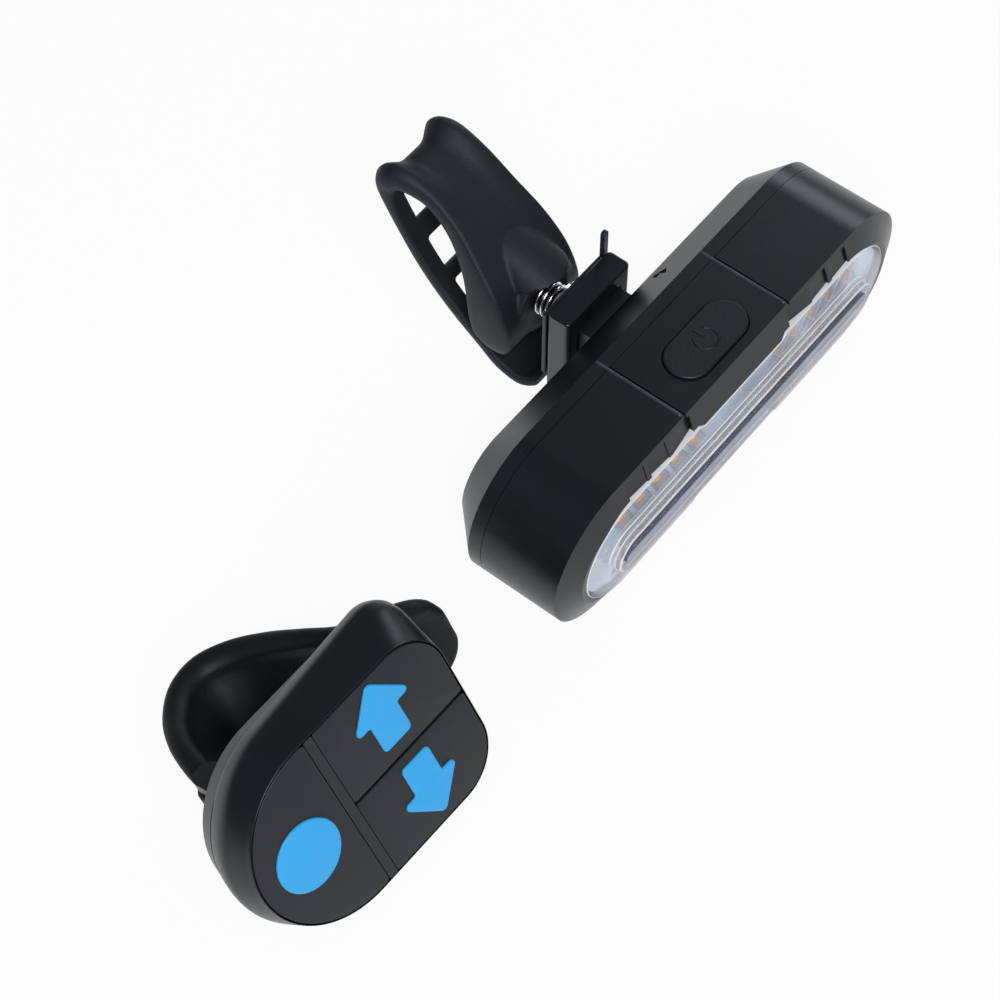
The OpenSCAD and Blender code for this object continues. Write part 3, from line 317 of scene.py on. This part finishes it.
# A thin ring round the bar's front edge gets the painted highlight.
highlight_ring_y, ring_half = -0.01333, 0.00005
second_finish(bar, lens_highlight_paint, np.abs(face_values(bar, "center")[:, 1] - highlight_ring_y) < ring_half)
inlay_rings = bar_grid(35.6, 1.35, [(0, -12.45), (0, -13.3), (0.1, -13.4)])
inlay = tidy_mesh(grid_piece("bar_inlay", inlay_rings, around=True, caps=True))
smoke_strip = finish_of("smoke_strip", (0.06, 0.07, 0.1), 0.5, 0.0006, 0.000006, tint=0.2, specular=0.1)
dress(inlay, smoke_strip, "light")
frosted_face = finish_of("frosted_face", (0.3, 0.34, 0.42), 0.3, 0.0006, 0.000006)
face_y = -0.01336
second_finish(inlay, frosted_face, face_values(inlay, "center")[:, 1] < face_y)
clear_strip = finish_of("clear_strip", (0.3, 0.34, 0.4), 0.3, 0.0006, 0.000006, specular=0.2)
repaint("light_strip", clear_strip)


# Inside of the light: the nylon switch under the power button, the flat cell in its silver foil pouch,
# and the nickel-plated charging socket in the underside.
dark_nylon = finish_of("black_nylon", (0.012, 0.0125, 0.014), 0.45, 0.0003, 0.00001)
repaint("tact_switch", dark_nylon)
silver_pouch = finish_of("silver_cell_pouch", (0.6, 0.62, 0.65), 0.35, 0.0006, 0.00002)
repaint("battery_pack", silver_pouch)
nickel = finish_of("bright_nickel", (0.75, 0.76, 0.78), 0.14, 0.0003, 0.000003, tint=0.06, metal=1)
repaint("charge_socket", nickel)


# Power button and charging plug: soft black silicone mouldings, the button pressed through the top
# wall with a raised power sign on it, the plug pushed into its seat in the underside.
silicone = finish_of("black_silicone", (0.0055, 0.006, 0.007), 0.45, 0.00035, 0.00003, dust=0.03)
button = softened("power_button_cap", "power_button", 0.0006)
dress(button, silicone, "button")
sign_mid = np.array([0, -2.8, 31.98])
sign_r, sign_wire = 2.2, 0.26
gap_half = np.radians(38)
sweep = np.linspace(np.pi / 2 + gap_half, 2.5 * np.pi - gap_half, 40)
sign_arc = sign_mid + sign_r * np.stack([np.cos(sweep), np.sin(sweep), 0 * sweep], axis=-1)
sign_bar = sign_mid + np.stack([0 * sweep, np.linspace(0.4, 2.7, 40), 0 * sweep], axis=-1)
for name, line in (("power_sign_arc", sign_arc), ("power_sign_bar", sign_bar)):
    dress(wire_piece(name, line, sign_wire, (0, 0, 1)), silicone, "button")
plug = softened("port_plug_cap", "port_plug", 0.0003)
dress(plug, silicone, "plug")


# Slide bracket: a block of glossy black nylon, moulded in one with the pivot post. It slides down over
# the rail of the rear cover.
glossy_nylon = finish_of("glossy_black_nylon", (0.0065, 0.007, 0.0085), 0.25, 0.0006, 0.000004)
block = softened("bracket_block", "bracket", 0.0011)
dress(block, glossy_nylon, "mount")


# Release lever: a leaf of blackened spring steel behind the block, fixed along its lower edge. The prong
# at its top is pressed to free the light.
blackened = finish_of("blackened_spring_steel", (0.03, 0.032, 0.036), 0.3, 0.0002, 0.000005, metal=0.6)
lever = softened("release_leaf", "release_lever", 0.0003)
dress(lever, blackened, "lever")


# Pivot: a plated washer and a coil of plated spring wire on the post press on the nylon bush of the
# strap, and a steel screw in the end of the post holds them.
repaint("spring_washer", nickel)
repaint("pivot_screw", zinc)
repaint("pivot_bush", dark_nylon)
pivot_z = 15.8
spring_r, wire_r, spring_turns, spring_pitch = 3.2, 0.36, 3, 1.12
spring_start = np.array([0, 27.75 + wire_r, pivot_z])
turn = np.linspace(0, 2 * np.pi * spring_turns, 36 * spring_turns + 1)
rise = turn / (2 * np.pi) * spring_pitch
helix = spring_start + np.stack([spring_r * np.sin(turn), rise, spring_r * np.cos(turn)], axis=-1)
spring = wire_piece("pivot_coil", helix, wire_r, (0, 1, 0))
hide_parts("pivot_spring")
dress(spring, nickel, "mount")


# Strap: one casting of matte black silicone. From a thick base with a hood over the pivot the band
# loops up and back down under itself, with a row of slots that catch the nylon hook.
def through(points, steps):
    """Smooth curve through control points: each span blends four neighbours with cubic weights."""
    p = np.asarray(points, float)
    q = np.concatenate([p[:1], p, p[-1:]])
    t = np.linspace(0, 1, steps, endpoint=False)[None, :, None]
    p0, p1, p2, p3 = (q[k:len(q) - 3 + k, None] for k in range(4))
    spans = 0.5 * (2 * p1 + (p2 - p0) * t + (2 * p0 - 5 * p1 + 4 * p2 - p3) * t * t
                   + (3 * p1 - p0 - 3 * p2 + p3) * t ** 3)
    return np.concatenate([spans.reshape(-1, p.shape[1]), p[-1:]])


def band_faces(name, path, slots, slot_w, slot_len, to_frame, rim=0):
    """Slotted rubber band: path rows are (along, up, thickness, half width, shift, dish, round, lean).
    Two skins stand off the path by half the thickness, more by rim along the far edge, and draw together
    on a quarter round by the distance to the nearest edge or slot, so that they meet there. The dish
    draws the outer skin in, and the lean moves both in with the distance from the far edge."""
    fine = through(path, 24)
    step = np.linalg.norm(np.diff(fine[:, :2], axis=0), axis=1)
    s = np.concatenate([[0], np.cumsum(step)])
    centres = [s[np.argmin(np.linalg.norm(fine[:, :2] - place, axis=1))] for place in slots]
    edge = np.array([0, 0.08, 0.25, 0.5, 0.8, 1.2])
    marks = [np.linspace(0, s[-1], 110), edge, s[-1] - edge]
    for c in centres:
        marks += [c - slot_len / 2 - edge, c + slot_len / 2 + edge, [c]]
    rows = np.unique(np.clip(np.round(np.concatenate(marks), 3), 0, s[-1]))
    line = np.stack([np.interp(rows, s, fine[:, k]) for k in range(8)], axis=-1)
    tangent = np.gradient(line[:, :2], rows, axis=0)
    tangent /= np.linalg.norm(tangent, axis=1)[:, None]
    normal = np.stack([-tangent[:, 1], tangent[:, 0]], axis=-1)
    half_slot = slot_w / 2
    room = (line[:, 3] - half_slot)[:, None]
    share = np.unique(np.concatenate([edge / 6, [0.35, 0.5, 0.65], 1 - edge / 6]))
    outer = np.where(room > 0.3, half_slot + room * share[None], line[:, 3:4] * (0.6 + 0.4 * share))
    middle = np.minimum(half_slot, line[:, 3] * 0.6)
    middle = np.where(room[:, 0] > 0.3, half_slot, middle)
    inner = middle[:, None] * np.linspace(-1, 1, 11)[None, 1:-1]
    across = np.concatenate([-outer[:, ::-1], inner, outer], axis=1)
    gap = np.minimum(line[:, 3:4] - np.abs(across), np.minimum(rows, s[-1] - rows)[:, None])
    near = gap / line[:, 6:7]
    for c in centres:
        dx = np.abs(across) - half_slot
        ds = np.abs(rows - c)[:, None] - slot_len / 2
        near = np.minimum(near, np.hypot(np.maximum(dx, 0), np.maximum(ds, 0)) / 0.45)
    from_far = line[:, 3:4] - across
    half_t = line[:, 2:3] / 2 * (1 + rim * np.exp(-((from_far - 1.7) / 1.4) ** 2))
    lift = half_t * np.sqrt(1 - (1 - np.clip(near, 0, 1)) ** 2)
    out = np.clip((np.abs(across / line[:, 3:4]) - 0.25) / 0.5, 0, 1)
    drawn = line[:, 5:6] * (1 - out * out * (3 - 2 * out))
    leant = line[:, 7:8] * from_far
    skins = []
    for stand in (lift - np.minimum(drawn, 1.6 * lift) - leant, -lift - leant):
        flat = line[:, None, :2] + stand[..., None] * normal[:, None]
        skins.append(to_frame(across + line[:, 4][:, None], flat[..., 0], flat[..., 1]))
    n_rows, n_cols = across.shape
    index = np.arange(n_rows * n_cols).reshape(n_rows, n_cols)
    quads = np.stack([index[:-1, :-1], index[:-1, 1:], index[1:, 1:], index[1:, :-1]], axis=-1)
    middle_x = (across[:-1, :-1] + across[1:, 1:]) / 2
    middle_s = ((rows[:-1] + rows[1:]) / 2)[:, None]
    keep = np.ones(middle_x.shape, bool)
    for c in centres:
        keep &= ~((np.abs(middle_x) < half_slot) & (np.abs(middle_s - c) < slot_len / 2))
    top = quads[keep]
    bottom = top[:, ::-1] + n_rows * n_cols
    mesh = bpy.data.meshes.new(name)
    points = np.concatenate([skin.reshape(-1, 3) for skin in skins]) * 1e-3
    mesh.from_pydata(points, [], np.concatenate([top, bottom]).tolist())
    piece = bpy.data.objects.new(name, mesh)
    bpy.context.collection.objects.link(piece)
    return tidy_mesh(piece)


strap_base_y = 24.45
strap_path = [row + (0,) for row in (
    (10.9, -8.2, 5.2, 10.6, 0, 0, 0.8), (10.9, -5, 8.2, 11.2, -0.6, 0, 1),
    (11.3, -0.5, 9.2, 10.9, -1.1, 0, 1), (13, 4.2, 8, 10.6, -1, 0, 1),
    (16.4, 9.2, 5.6, 9.7, -0.5, 0, 0.8), (21.3, 14, 4, 8.5, 0, 0.3, 0.8),
    (26.8, 18.2, 3.6, 8.2, 0, 0.8, 1.2), (32.1, 20.3, 4.8, 8.8, -0.7, 1.9, 2.4),
    (35, 19.8, 5.8, 9.2, -1.2, 2.4, 3), (36, 17.6, 4.8, 9.4, -0.9, 1.6, 2.4),
    (33.9, 12.2, 2.3, 10, 0, 0, 0.45), (27.9, 2.9, 2.3, 10, 0, 0, 0.45),
    (21.4, -4.2, 2.3, 10, 0, 0, 0.45), (14.4, -9.8, 2.3, 10, 0, 0, 0.45),
    (10, -13.2, 2.3, 10, 0, 0, 0.6), (5.4, -14.6, 2.3, 9.6, 0, 0, 0.6),
    (2.6, -14, 2.3, 8, 0, 0, 0.6))]
strap_slots = [(33.6, 11.7), (27.6, 2.5), (21, -4.6), (13.3, -10.7)]
slot_w, slot_len = 12, 6.5


def strap_frame(across, along, up):
    """Places the strap: across is x, along runs back from its base and up from the pivot."""
    return np.stack([across, along + strap_base_y, up + pivot_z], axis=-1)


def turned_grid(profile, sides):
    """Body turned about the pivot's axis: profile rows are (radius, y)."""
    r, y = np.array(profile)[:, :1], np.array(profile)[:, 1:]
    a = np.linspace(0, 2 * np.pi, sides, endpoint=False)
    return np.stack([r * np.cos(a), y + 0 * a, pivot_z + r * np.sin(a)], axis=-1) * 1e-3


def canopy_grid(sides=64):
    """Canopy over the pivot: rings go from its lip, which looks down, to the band above, as a blend of
    their centres, half axes and tilt."""
    t = np.linspace(0, 1, 18)[:, None]
    a = np.linspace(0, 2 * np.pi, sides, endpoint=False)[None]
    half_x = 6.3 - 1.5 * t
    half_up = 6.6 - 4.3 * t
    tilt = np.radians(71 - 26 * t)
    up = half_up * np.sin(a)
    x = 0.3 + half_x * np.cos(a) + 0 * up
    y = 34.2 + 8.3 * t - up * np.sin(tilt)
    z = 21.2 + 5.2 * t + up * np.cos(tilt)
    rings = np.stack([x, y, z], axis=-1)
    first = rings[:1].mean(axis=1, keepdims=True).repeat(sides, 1)
    last = rings[-1:].mean(axis=1, keepdims=True).repeat(sides, 1)
    return np.concatenate([first, rings, last]) * 1e-3


def cast_together(main, others, voxel, smooth, cut=None):
    """Casts overlapping closed pieces as one skin: a voxel remesh joins them, a cut piece is taken away,
    and smoothing rounds the lines where they met."""
    work = bmesh.new()
    for piece in [main] + others:
        work.from_mesh(piece.data)
    work.to_mesh(main.data)
    work.free()
    for piece in others:
        bpy.data.objects.remove(piece)
    remesh = main.modifiers.new("one casting", "REMESH")
    remesh.mode = "VOXEL"
    remesh.voxel_size = voxel
    remesh.use_smooth_shade = True
    if cut:
        hollow = main.modifiers.new("pivot bore", "BOOLEAN")
        hollow.operation = "DIFFERENCE"
        hollow.object = cut
    relax = main.modifiers.new("soft joins", "SMOOTH")
    relax.factor = 0.5
    relax.iterations = smooth
    bpy.context.view_layer.update()
    done = main.evaluated_get(bpy.context.evaluated_depsgraph_get())
    mesh = bpy.data.meshes.new_from_object(done)
    main.modifiers.clear()
    main.data = mesh
    mesh.shade_smooth()
    if cut:
        bpy.data.objects.remove(cut)
    return main


strap = band_faces("strap_band", strap_path, strap_slots, slot_w, slot_len, strap_frame)
collar_profile = [(0, 32.4), (5.6, 32.4), (5.8, 32.2), (5.8, 31.7), (6.1, 31.3), (6.5, 31.2), (7.2, 31.2),
                  (7.6, 31.4), (7.7, 31.9), (7.6, 35.5), (0, 35.5)]
bore_profile = [(0, 26), (5.8, 26), (5.8, 32.4), (0, 32.4)]
collar = tidy_mesh(grid_piece("strap_collar", turned_grid(collar_profile, 96), around=True))
canopy = tidy_mesh(grid_piece("strap_canopy", canopy_grid(), around=True))
bore = tidy_mesh(grid_piece("strap_bore", turned_grid(bore_profile, 64), around=True))
casting_voxel = 0.0003
cast_together(strap, [collar, canopy], casting_voxel, 6, bore)
strap_rubber = finish_of("strap_silicone", (0.009, 0.0097, 0.0118), 0.58, 0.0005, 0.00001,
                         specular=0.4, dust=0.05)
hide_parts("strap")
dress(strap, strap_rubber, "band")
hook = softened("strap_catch", "strap_hook", 0.0004)
dress(hook, dark_nylon, "band")


# Remote: a hand-sized case of two satin ABS shells, screwed together over a gasket, which leans back
# on its own strap. The rib between the keys is part of the front shell.
remote_origin = np.array([-111.7, -8.5, 20.4108])
remote_axes = np.array([[0.99713, -0.04357, -0.06189], [-0.03656, 0.43869, -0.89789],
                        [0.06627, 0.89758, 0.43584]])


def in_remote(x, y, depth):
    """Remote's frame to the part's frame: x along the keys, y up the face, depth behind the face."""
    local = np.stack(np.broadcast_arrays(x, y, -np.asarray(depth, float)), axis=-1)
    return remote_origin + local @ remote_axes.T


def rounded_loop(corners, radii, steps=14):
    """Outline through corners, each turned on an arc of its radius that touches both its sides."""
    c = np.asarray(corners, float)
    before = np.roll(c, 1, axis=0) - c
    after = np.roll(c, -1, axis=0) - c
    before /= np.linalg.norm(before, axis=1)[:, None]
    after /= np.linalg.norm(after, axis=1)[:, None]
    half = np.arccos(np.clip((before * after).sum(1), -1, 1)) / 2
    r = np.asarray(radii, float)
    reach = r / np.tan(half)
    start = c + before * reach[:, None]
    middle = before + after
    middle /= np.linalg.norm(middle, axis=1)[:, None]
    centre = c + middle * (r / np.sin(half))[:, None]
    first = start - centre
    turn = np.pi - 2 * half
    way = np.sign(before[:, 0] * after[:, 1] - before[:, 1] * after[:, 0])
    a = -way[:, None] * turn[:, None] * np.linspace(0, 1, steps)[None]
    x = centre[:, :1] + first[:, :1] * np.cos(a) - first[:, 1:] * np.sin(a)
    y = centre[:, 1:] + first[:, :1] * np.sin(a) + first[:, 1:] * np.cos(a)
    return np.stack([x.ravel(), y.ravel()], axis=-1)


def case_loop(out, depth):
    """Outline of the remote grown by out: a half round left end and two corners at the other, which get
    tighter behind the face."""
    x0, x1, r = -10 - out, 37 + out, 17.3 + out
    corner = 9 + out - 4.5 * min(max((depth - 0.5) / 3.5, 0), 1)
    return rounded_loop([(x1, r), (x0, r), (x0, -r), (x1, -r)], [corner, r, r, corner], steps=28)


def wedge(x, depth):
    """Depth of the case's side, which gets deeper towards the end away from the mode key."""
    share = np.clip((x + 6) / 38, 0, 1)
    return depth + share * np.interp(depth, [0.5, 2.2, 5.1, 9.7], [0, 1.8, 4.6, 3.2])


def plate(name, loop_at, top, bottom, fillet):
    """Plate with a rounded upper edge: rings of an outline go up the side, then draw in on a quarter
    round of the fillet, and one flat face closes each end."""
    a = np.linspace(0, np.pi / 2, 6)
    inset = np.concatenate([[0], fillet * (1 - np.cos(a))])
    depth = np.concatenate([[bottom], top + fillet * (1 - np.sin(a))])
    rings = [in_remote(*loop_at(-i).T, d) for i, d in zip(inset, depth)]
    return tidy_mesh(grid_piece(name, np.stack(rings) * 1e-3, around=True, caps=True))


front_profile = through([
    (0, 2.8), (0, 0.35), (0.06, 0.08), (0.2, 0.3), (0.4, 0.95), (0.85, 2.2), (1.3, 3.6), (1.68, 5.1),
    (1.6, 6.6), (1.05, 8.6), (0.66, 9.5), (0.4, 9.68), (-0.6, 9.7)], 5)
front_loops = [(case_loop(out, depth), depth) for out, depth in front_profile]
front_rings = [in_remote(*loop.T, wedge(loop[:, 0], depth)) for loop, depth in front_loops]
remote_front = tidy_mesh(grid_piece("remote_front_case", np.stack(front_rings) * 1e-3, around=True))
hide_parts("remote_front_shell")
remote_black = finish_of("remote_satin_abs", (0.0062, 0.0066, 0.0078), 0.36, 0.00028, 0.000012, dust=0.02)
dress(remote_front, remote_black, "remote")


def rib_loop(out):
    """Outline of the rib: a strip across the face between the mode key and the arrow keys."""
    return rounded_loop([(11 + out, 17.1), (9.2 - out, 17.1), (9.2 - out, -17.1), (11 + out, -17.1)],
                        [0.3 + out] * 4, steps=4)


rib = plate("remote_rib", rib_loop, 0.02, 2.6, 0.05)
rib.data.shade_flat()
dress(rib, remote_black, "remote")
remote_back = softened("remote_back_case", "remote_back_shell", 0.0005)
dress(remote_back, remote_black, "remote")


# Inside of the remote: a green board with three switches under a grey silicone sheet, a coin cell in a
# brass clip, and the gasket and four screws that close the case.
for name, mat in (("remote_gasket", grey_rubber), ("key_membrane", grey_rubber), ("coin_cell", nickel),
                  ("remote_switches", dark_nylon), ("remote_screws", zinc)):
    repaint(name, mat)
green_mask = finish_of("green_solder_mask", (0.03, 0.2, 0.1), 0.35, 0.0003, 0.000006)
repaint("remote_board", green_mask)
brass = finish_of("brass_strip", (0.7, 0.6, 0.35), 0.25, 0.0003, 0.000004, metal=1)
repaint("cell_contact", brass)


# Keys: three matte black silicone keys, each with a sky blue inlay moulded into it, a dot on the large
# key and an arrow on each of the other two. They rest on one rubber sheet under the face.
def mode_loop(out):
    """Outline of the mode key: the half round end of the face, cut straight along the rib."""
    r = 17.05 + out
    return rounded_loop([(9.1 + out, r), (-9.75 - out, r), (-9.75 - out, -r), (9.1 + out, -r)],
                        [0.8 + out, r, r, 0.8 + out], steps=24)


def arrow_key_loop(side):
    """Outline of an arrow key: half of the other end, above or below the groove."""
    def loop(out):
        low, high = 0.25 - out, 17.05 + out
        corners = [(36.75 + out, high), (11.1 - out, high), (11.1 - out, low), (36.75 + out, low)]
        flat = rounded_loop(corners, [8.75 + out, 0.6 + out, 0.6 + out, 0.6 + out], steps=20)
        return flat if side > 0 else (flat * [1, -1])[::-1]
    return loop


def dot_loop(out):
    """Outline of the round inlay."""
    a = np.linspace(0, 2 * np.pi, 96, endpoint=False)
    return (6.35 + out) * np.stack([np.cos(a), np.sin(a)], axis=-1)


def arrow_loop(side):
    """Outline of an arrow inlay, its corners rounded as moulded, drawn from the groove outwards."""
    def loop(out):
        shaft, barb, tail, neck, tip = 3.15 + out, 6.75 + 2 * out, 2.2 - out, 8.4 - out, 15.7 + 1.4 * out
        corners = [(shaft, tail), (shaft, neck), (barb, neck), (0, tip), (-barb, neck), (-shaft, neck),
                   (-shaft, tail)]
        radii = [0.9 + out, 0.5 - out, 0.8 + out, 1.1 + out, 0.8 + out, 0.5 - out, 0.9 + out]
        flat = rounded_loop(corners, radii, steps=8)
        return flat + [22.98, 0.8] if side > 0 else (flat * [1, -1])[::-1] + [23.45, 0]
    return loop


key_rubber = finish_of("key_silicone", (0.0085, 0.009, 0.0105), 0.44, 0.0002, 0.000006)
inlay_blue = finish_of("sky_blue_inlay", (0.03, 0.4, 0.84), 0.4, 0.0003, 0.000004, tint=0.03)
for name, node, loop in (("mode_key_cap", "mode_key", mode_loop),
                         ("left_key_cap", "left_key", arrow_key_loop(1)),
                         ("right_key_cap", "right_key", arrow_key_loop(-1))):
    piece = plate(name, loop, 0, 2.3, 0.18)
    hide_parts(node)
    dress(piece, key_rubber, node[:-4])
for name, node, loop in (("mode_dot", "mode_insert", dot_loop), ("left_sign", "left_arrow", arrow_loop(1)),
                         ("right_sign", "right_arrow", arrow_loop(-1))):
    piece = plate(name, loop, -0.35, 0.7, 0.25)
    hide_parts(node)
    dress(piece, inlay_blue, node.split("_")[0])


# Remote's strap: a band of the same silicone, its rolled end threaded on the bar behind the case. It
# loops round the handlebar, is caught by a slot on the nylon hook and ends in a rounded tongue. Rows
# are (along, depth, thickness, low edge, high edge, lean).
remote_rows = np.array([
    (0, 19.9, 2.5, -7.5, 8.9, 0), (0.5, 23.8, 2.5, -7.4, 10.2, 0), (1.9, 29.4, 2.4, -8, 11.2, 0.2),
    (5, 35, 2.4, -7.5, 11.2, 0.4), (10, 39.2, 2.4, -7.5, 11.3, 0.5), (15.6, 40, 2.4, -7.5, 11.3, 0.55),
    (20.8, 37, 2.4, -8, 11.2, 0.5), (24.8, 31.6, 2.4, -9, 11.4, 0.3), (28.2, 25.6, 2.3, -9.6, 11.4, 0.1),
    (31.6, 20.8, 2.3, -10.2, 10.6, 0), (36, 17.6, 2.3, -10.2, 9.8, 0), (40, 16.1, 2.3, -9.8, 9.3, 0),
    (43.2, 15.2, 2.3, -8.8, 8, 0), (45.8, 14.6, 2.3, -6.8, 5.8, 0), (47.3, 14.2, 2.3, -3.8, 2.4, 0)])
low, high = remote_rows[:, 3], remote_rows[:, 4]
edge_round = 0.9
remote_path = np.column_stack([remote_rows[:, :3], (high - low) / 2, (high + low) / 2, 0 * low,
                               0 * low + edge_round, remote_rows[:, 5]])
remote_slots = [(32.6, 19.85)]


def remote_band_frame(across, along, depth):
    """Places the remote's band: it runs along the keys and behind the face, and across is up the face."""
    return in_remote(along, across, depth)


def eye_grid():
    """Rolled end of the band: a round bar across the strap, closed at both ends."""
    a = np.linspace(0, 2 * np.pi, 40, endpoint=False)
    y = np.array([-8.8, -8.8, -8.5, 8.5, 8.8, 8.8])[:, None]
    r = np.array([0, 2.7, 3.1, 3.1, 2.7, 0])[:, None]
    return in_remote(-0.6 + r * np.cos(a), y + 0 * a, 17.7 + r * np.sin(a)) * 1e-3


remote_strap = band_faces("remote_band", remote_path, remote_slots, slot_w, slot_len,
                          remote_band_frame, rim=0.7)
eye = tidy_mesh(grid_piece("remote_eye", eye_grid(), around=True))
cast_together(remote_strap, [eye], casting_voxel, 3)
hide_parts("remote_strap")
# The band is painted about half as dark as the strap's silicone: painted shade for the inside of its loop,
# which the case shadows.
remote_band_shade_paint = finish_of("remote_silicone_painted_shade", (0.0045, 0.0046, 0.005), 0.55, 0.0005, 0.00001,
                        specular=0.35, dust=0.05)
dress(remote_strap, remote_band_shade_paint, "remote")
remote_hook = softened("remote_catch", "remote_hook", 0.0004)
dress(remote_hook, dark_nylon, "remote")


# Studio: a white table that glows for the camera, in reflections and through the lens, with enough of
# its own shading left to keep a faint shadow; a dim cool surround that the camera sees as white; and two
# softboxes, the large one on the camera's side.
floor_half, floor_z = 4, -2e-4
floor_mesh = bpy.data.meshes.new("table")
floor_mesh.from_pydata([(-floor_half, -floor_half, floor_z), (floor_half, -floor_half, floor_z),
                        (floor_half, floor_half, floor_z), (-floor_half, floor_half, floor_z)],
                       [], [(0, 1, 2, 3)])
table = bpy.data.objects.new("table", floor_mesh)
bpy.context.collection.objects.link(table)
white_table = bpy.data.materials.new("white_table")
white_table.use_nodes = True
tree = white_table.node_tree
matte = tree.nodes["Principled BSDF"]
matte.inputs["Base Color"].default_value = (0.9, 0.9, 0.9, 1)
matte.inputs["Roughness"].default_value = 0.9
glow_share = 0.93
glow = tree.nodes.new("ShaderNodeEmission")
path = tree.nodes.new("ShaderNodeLightPath")
mix = tree.nodes.new("ShaderNodeMixShader")
mirrored = tree.nodes.new("ShaderNodeMath")
mirrored.operation = "MAXIMUM"
tree.links.new(path.outputs["Is Glossy Ray"], mirrored.inputs[0])
tree.links.new(path.outputs["Is Transmission Ray"], mirrored.inputs[1])
share = tree.nodes.new("ShaderNodeMath")
share.operation = "MULTIPLY_ADD"
share.inputs[1].default_value = glow_share
tree.links.new(path.outputs["Is Camera Ray"], share.inputs[0])
tree.links.new(mirrored.outputs[0], share.inputs[2])
tree.links.new(share.outputs[0], mix.inputs["Fac"])
tree.links.new(matte.outputs["BSDF"], mix.inputs[1])
tree.links.new(glow.outputs["Emission"], mix.inputs[2])
tree.links.new(mix.outputs["Shader"], tree.nodes["Material Output"].inputs["Surface"])
floor_mesh.materials.append(white_table)

scene = bpy.context.scene
scene.world = bpy.data.worlds.new("studio")
scene.world.use_nodes = True
sky = scene.world.node_tree
surround = sky.nodes["Background"]
surround.inputs["Color"].default_value = (0.88, 0.94, 1, 1)
surround.inputs["Strength"].default_value = 0.17
backdrop = sky.nodes.new("ShaderNodeBackground")
backdrop.inputs["Color"].default_value = (1, 1, 1, 1)
sight = sky.nodes.new("ShaderNodeLightPath")
seen = sky.nodes.new("ShaderNodeMath")
seen.operation = "MAXIMUM"
sky.links.new(sight.outputs["Is Camera Ray"], seen.inputs[0])
sky.links.new(sight.outputs["Is Transmission Ray"], seen.inputs[1])
blend = sky.nodes.new("ShaderNodeMixShader")
sky.links.new(seen.outputs[0], blend.inputs["Fac"])
sky.links.new(surround.outputs["Background"], blend.inputs[1])
sky.links.new(backdrop.outputs["Background"], blend.inputs[2])
sky.links.new(blend.outputs["Shader"], sky.nodes["World Output"].inputs["Surface"])


def softbox(name, place, aim, size, power):
    """Square softbox at place, its face turned to aim."""
    lamp = bpy.data.lights.new(name, "AREA")
    lamp.size = size
    lamp.energy = power
    box = bpy.data.objects.new(name, lamp)
    away = np.subtract(place, aim)
    away = away / np.linalg.norm(away)
    side = np.cross((0, 0, 1), away)
    side /= np.linalg.norm(side)
    turn = np.eye(4)
    turn[:3, :3] = np.stack([side, np.cross(away, side), away], axis=1)
    turn[:3, 3] = place
    box.matrix_world = Matrix(turn.tolist())
    bpy.context.collection.objects.link(box)


softbox("softbox_camera", (-0.5, -0.55, 0.9), (-0.03, 0, 0.02), 0.6, 10.5)
softbox("softbox_right", (0.85, 0.25, 0.55), (0, 0, 0.02), 0.4, 1.8)


# Camera: at the photograph's viewing angle, above the left end of the light, fitted to the edges of the
# housing. The columns of its matrix are right, up, back and place.
camera = bpy.data.cameras.new("photo_view")
camera.lens = 100.5
camera.sensor_width = 36
view = bpy.data.objects.new("photo_view", camera)
view.matrix_world = Matrix((
    (0.6202, 0.6583, -0.4266, -0.2422),
    (-0.7845, 0.5205, -0.3373, -0.14965),
    (0, 0.5438, 0.8392, 0.41525),
    (0, 0, 0, 1),
))
bpy.context.collection.objects.link(view)
scene.camera = view
scene.view_settings.view_transform = "Standard"
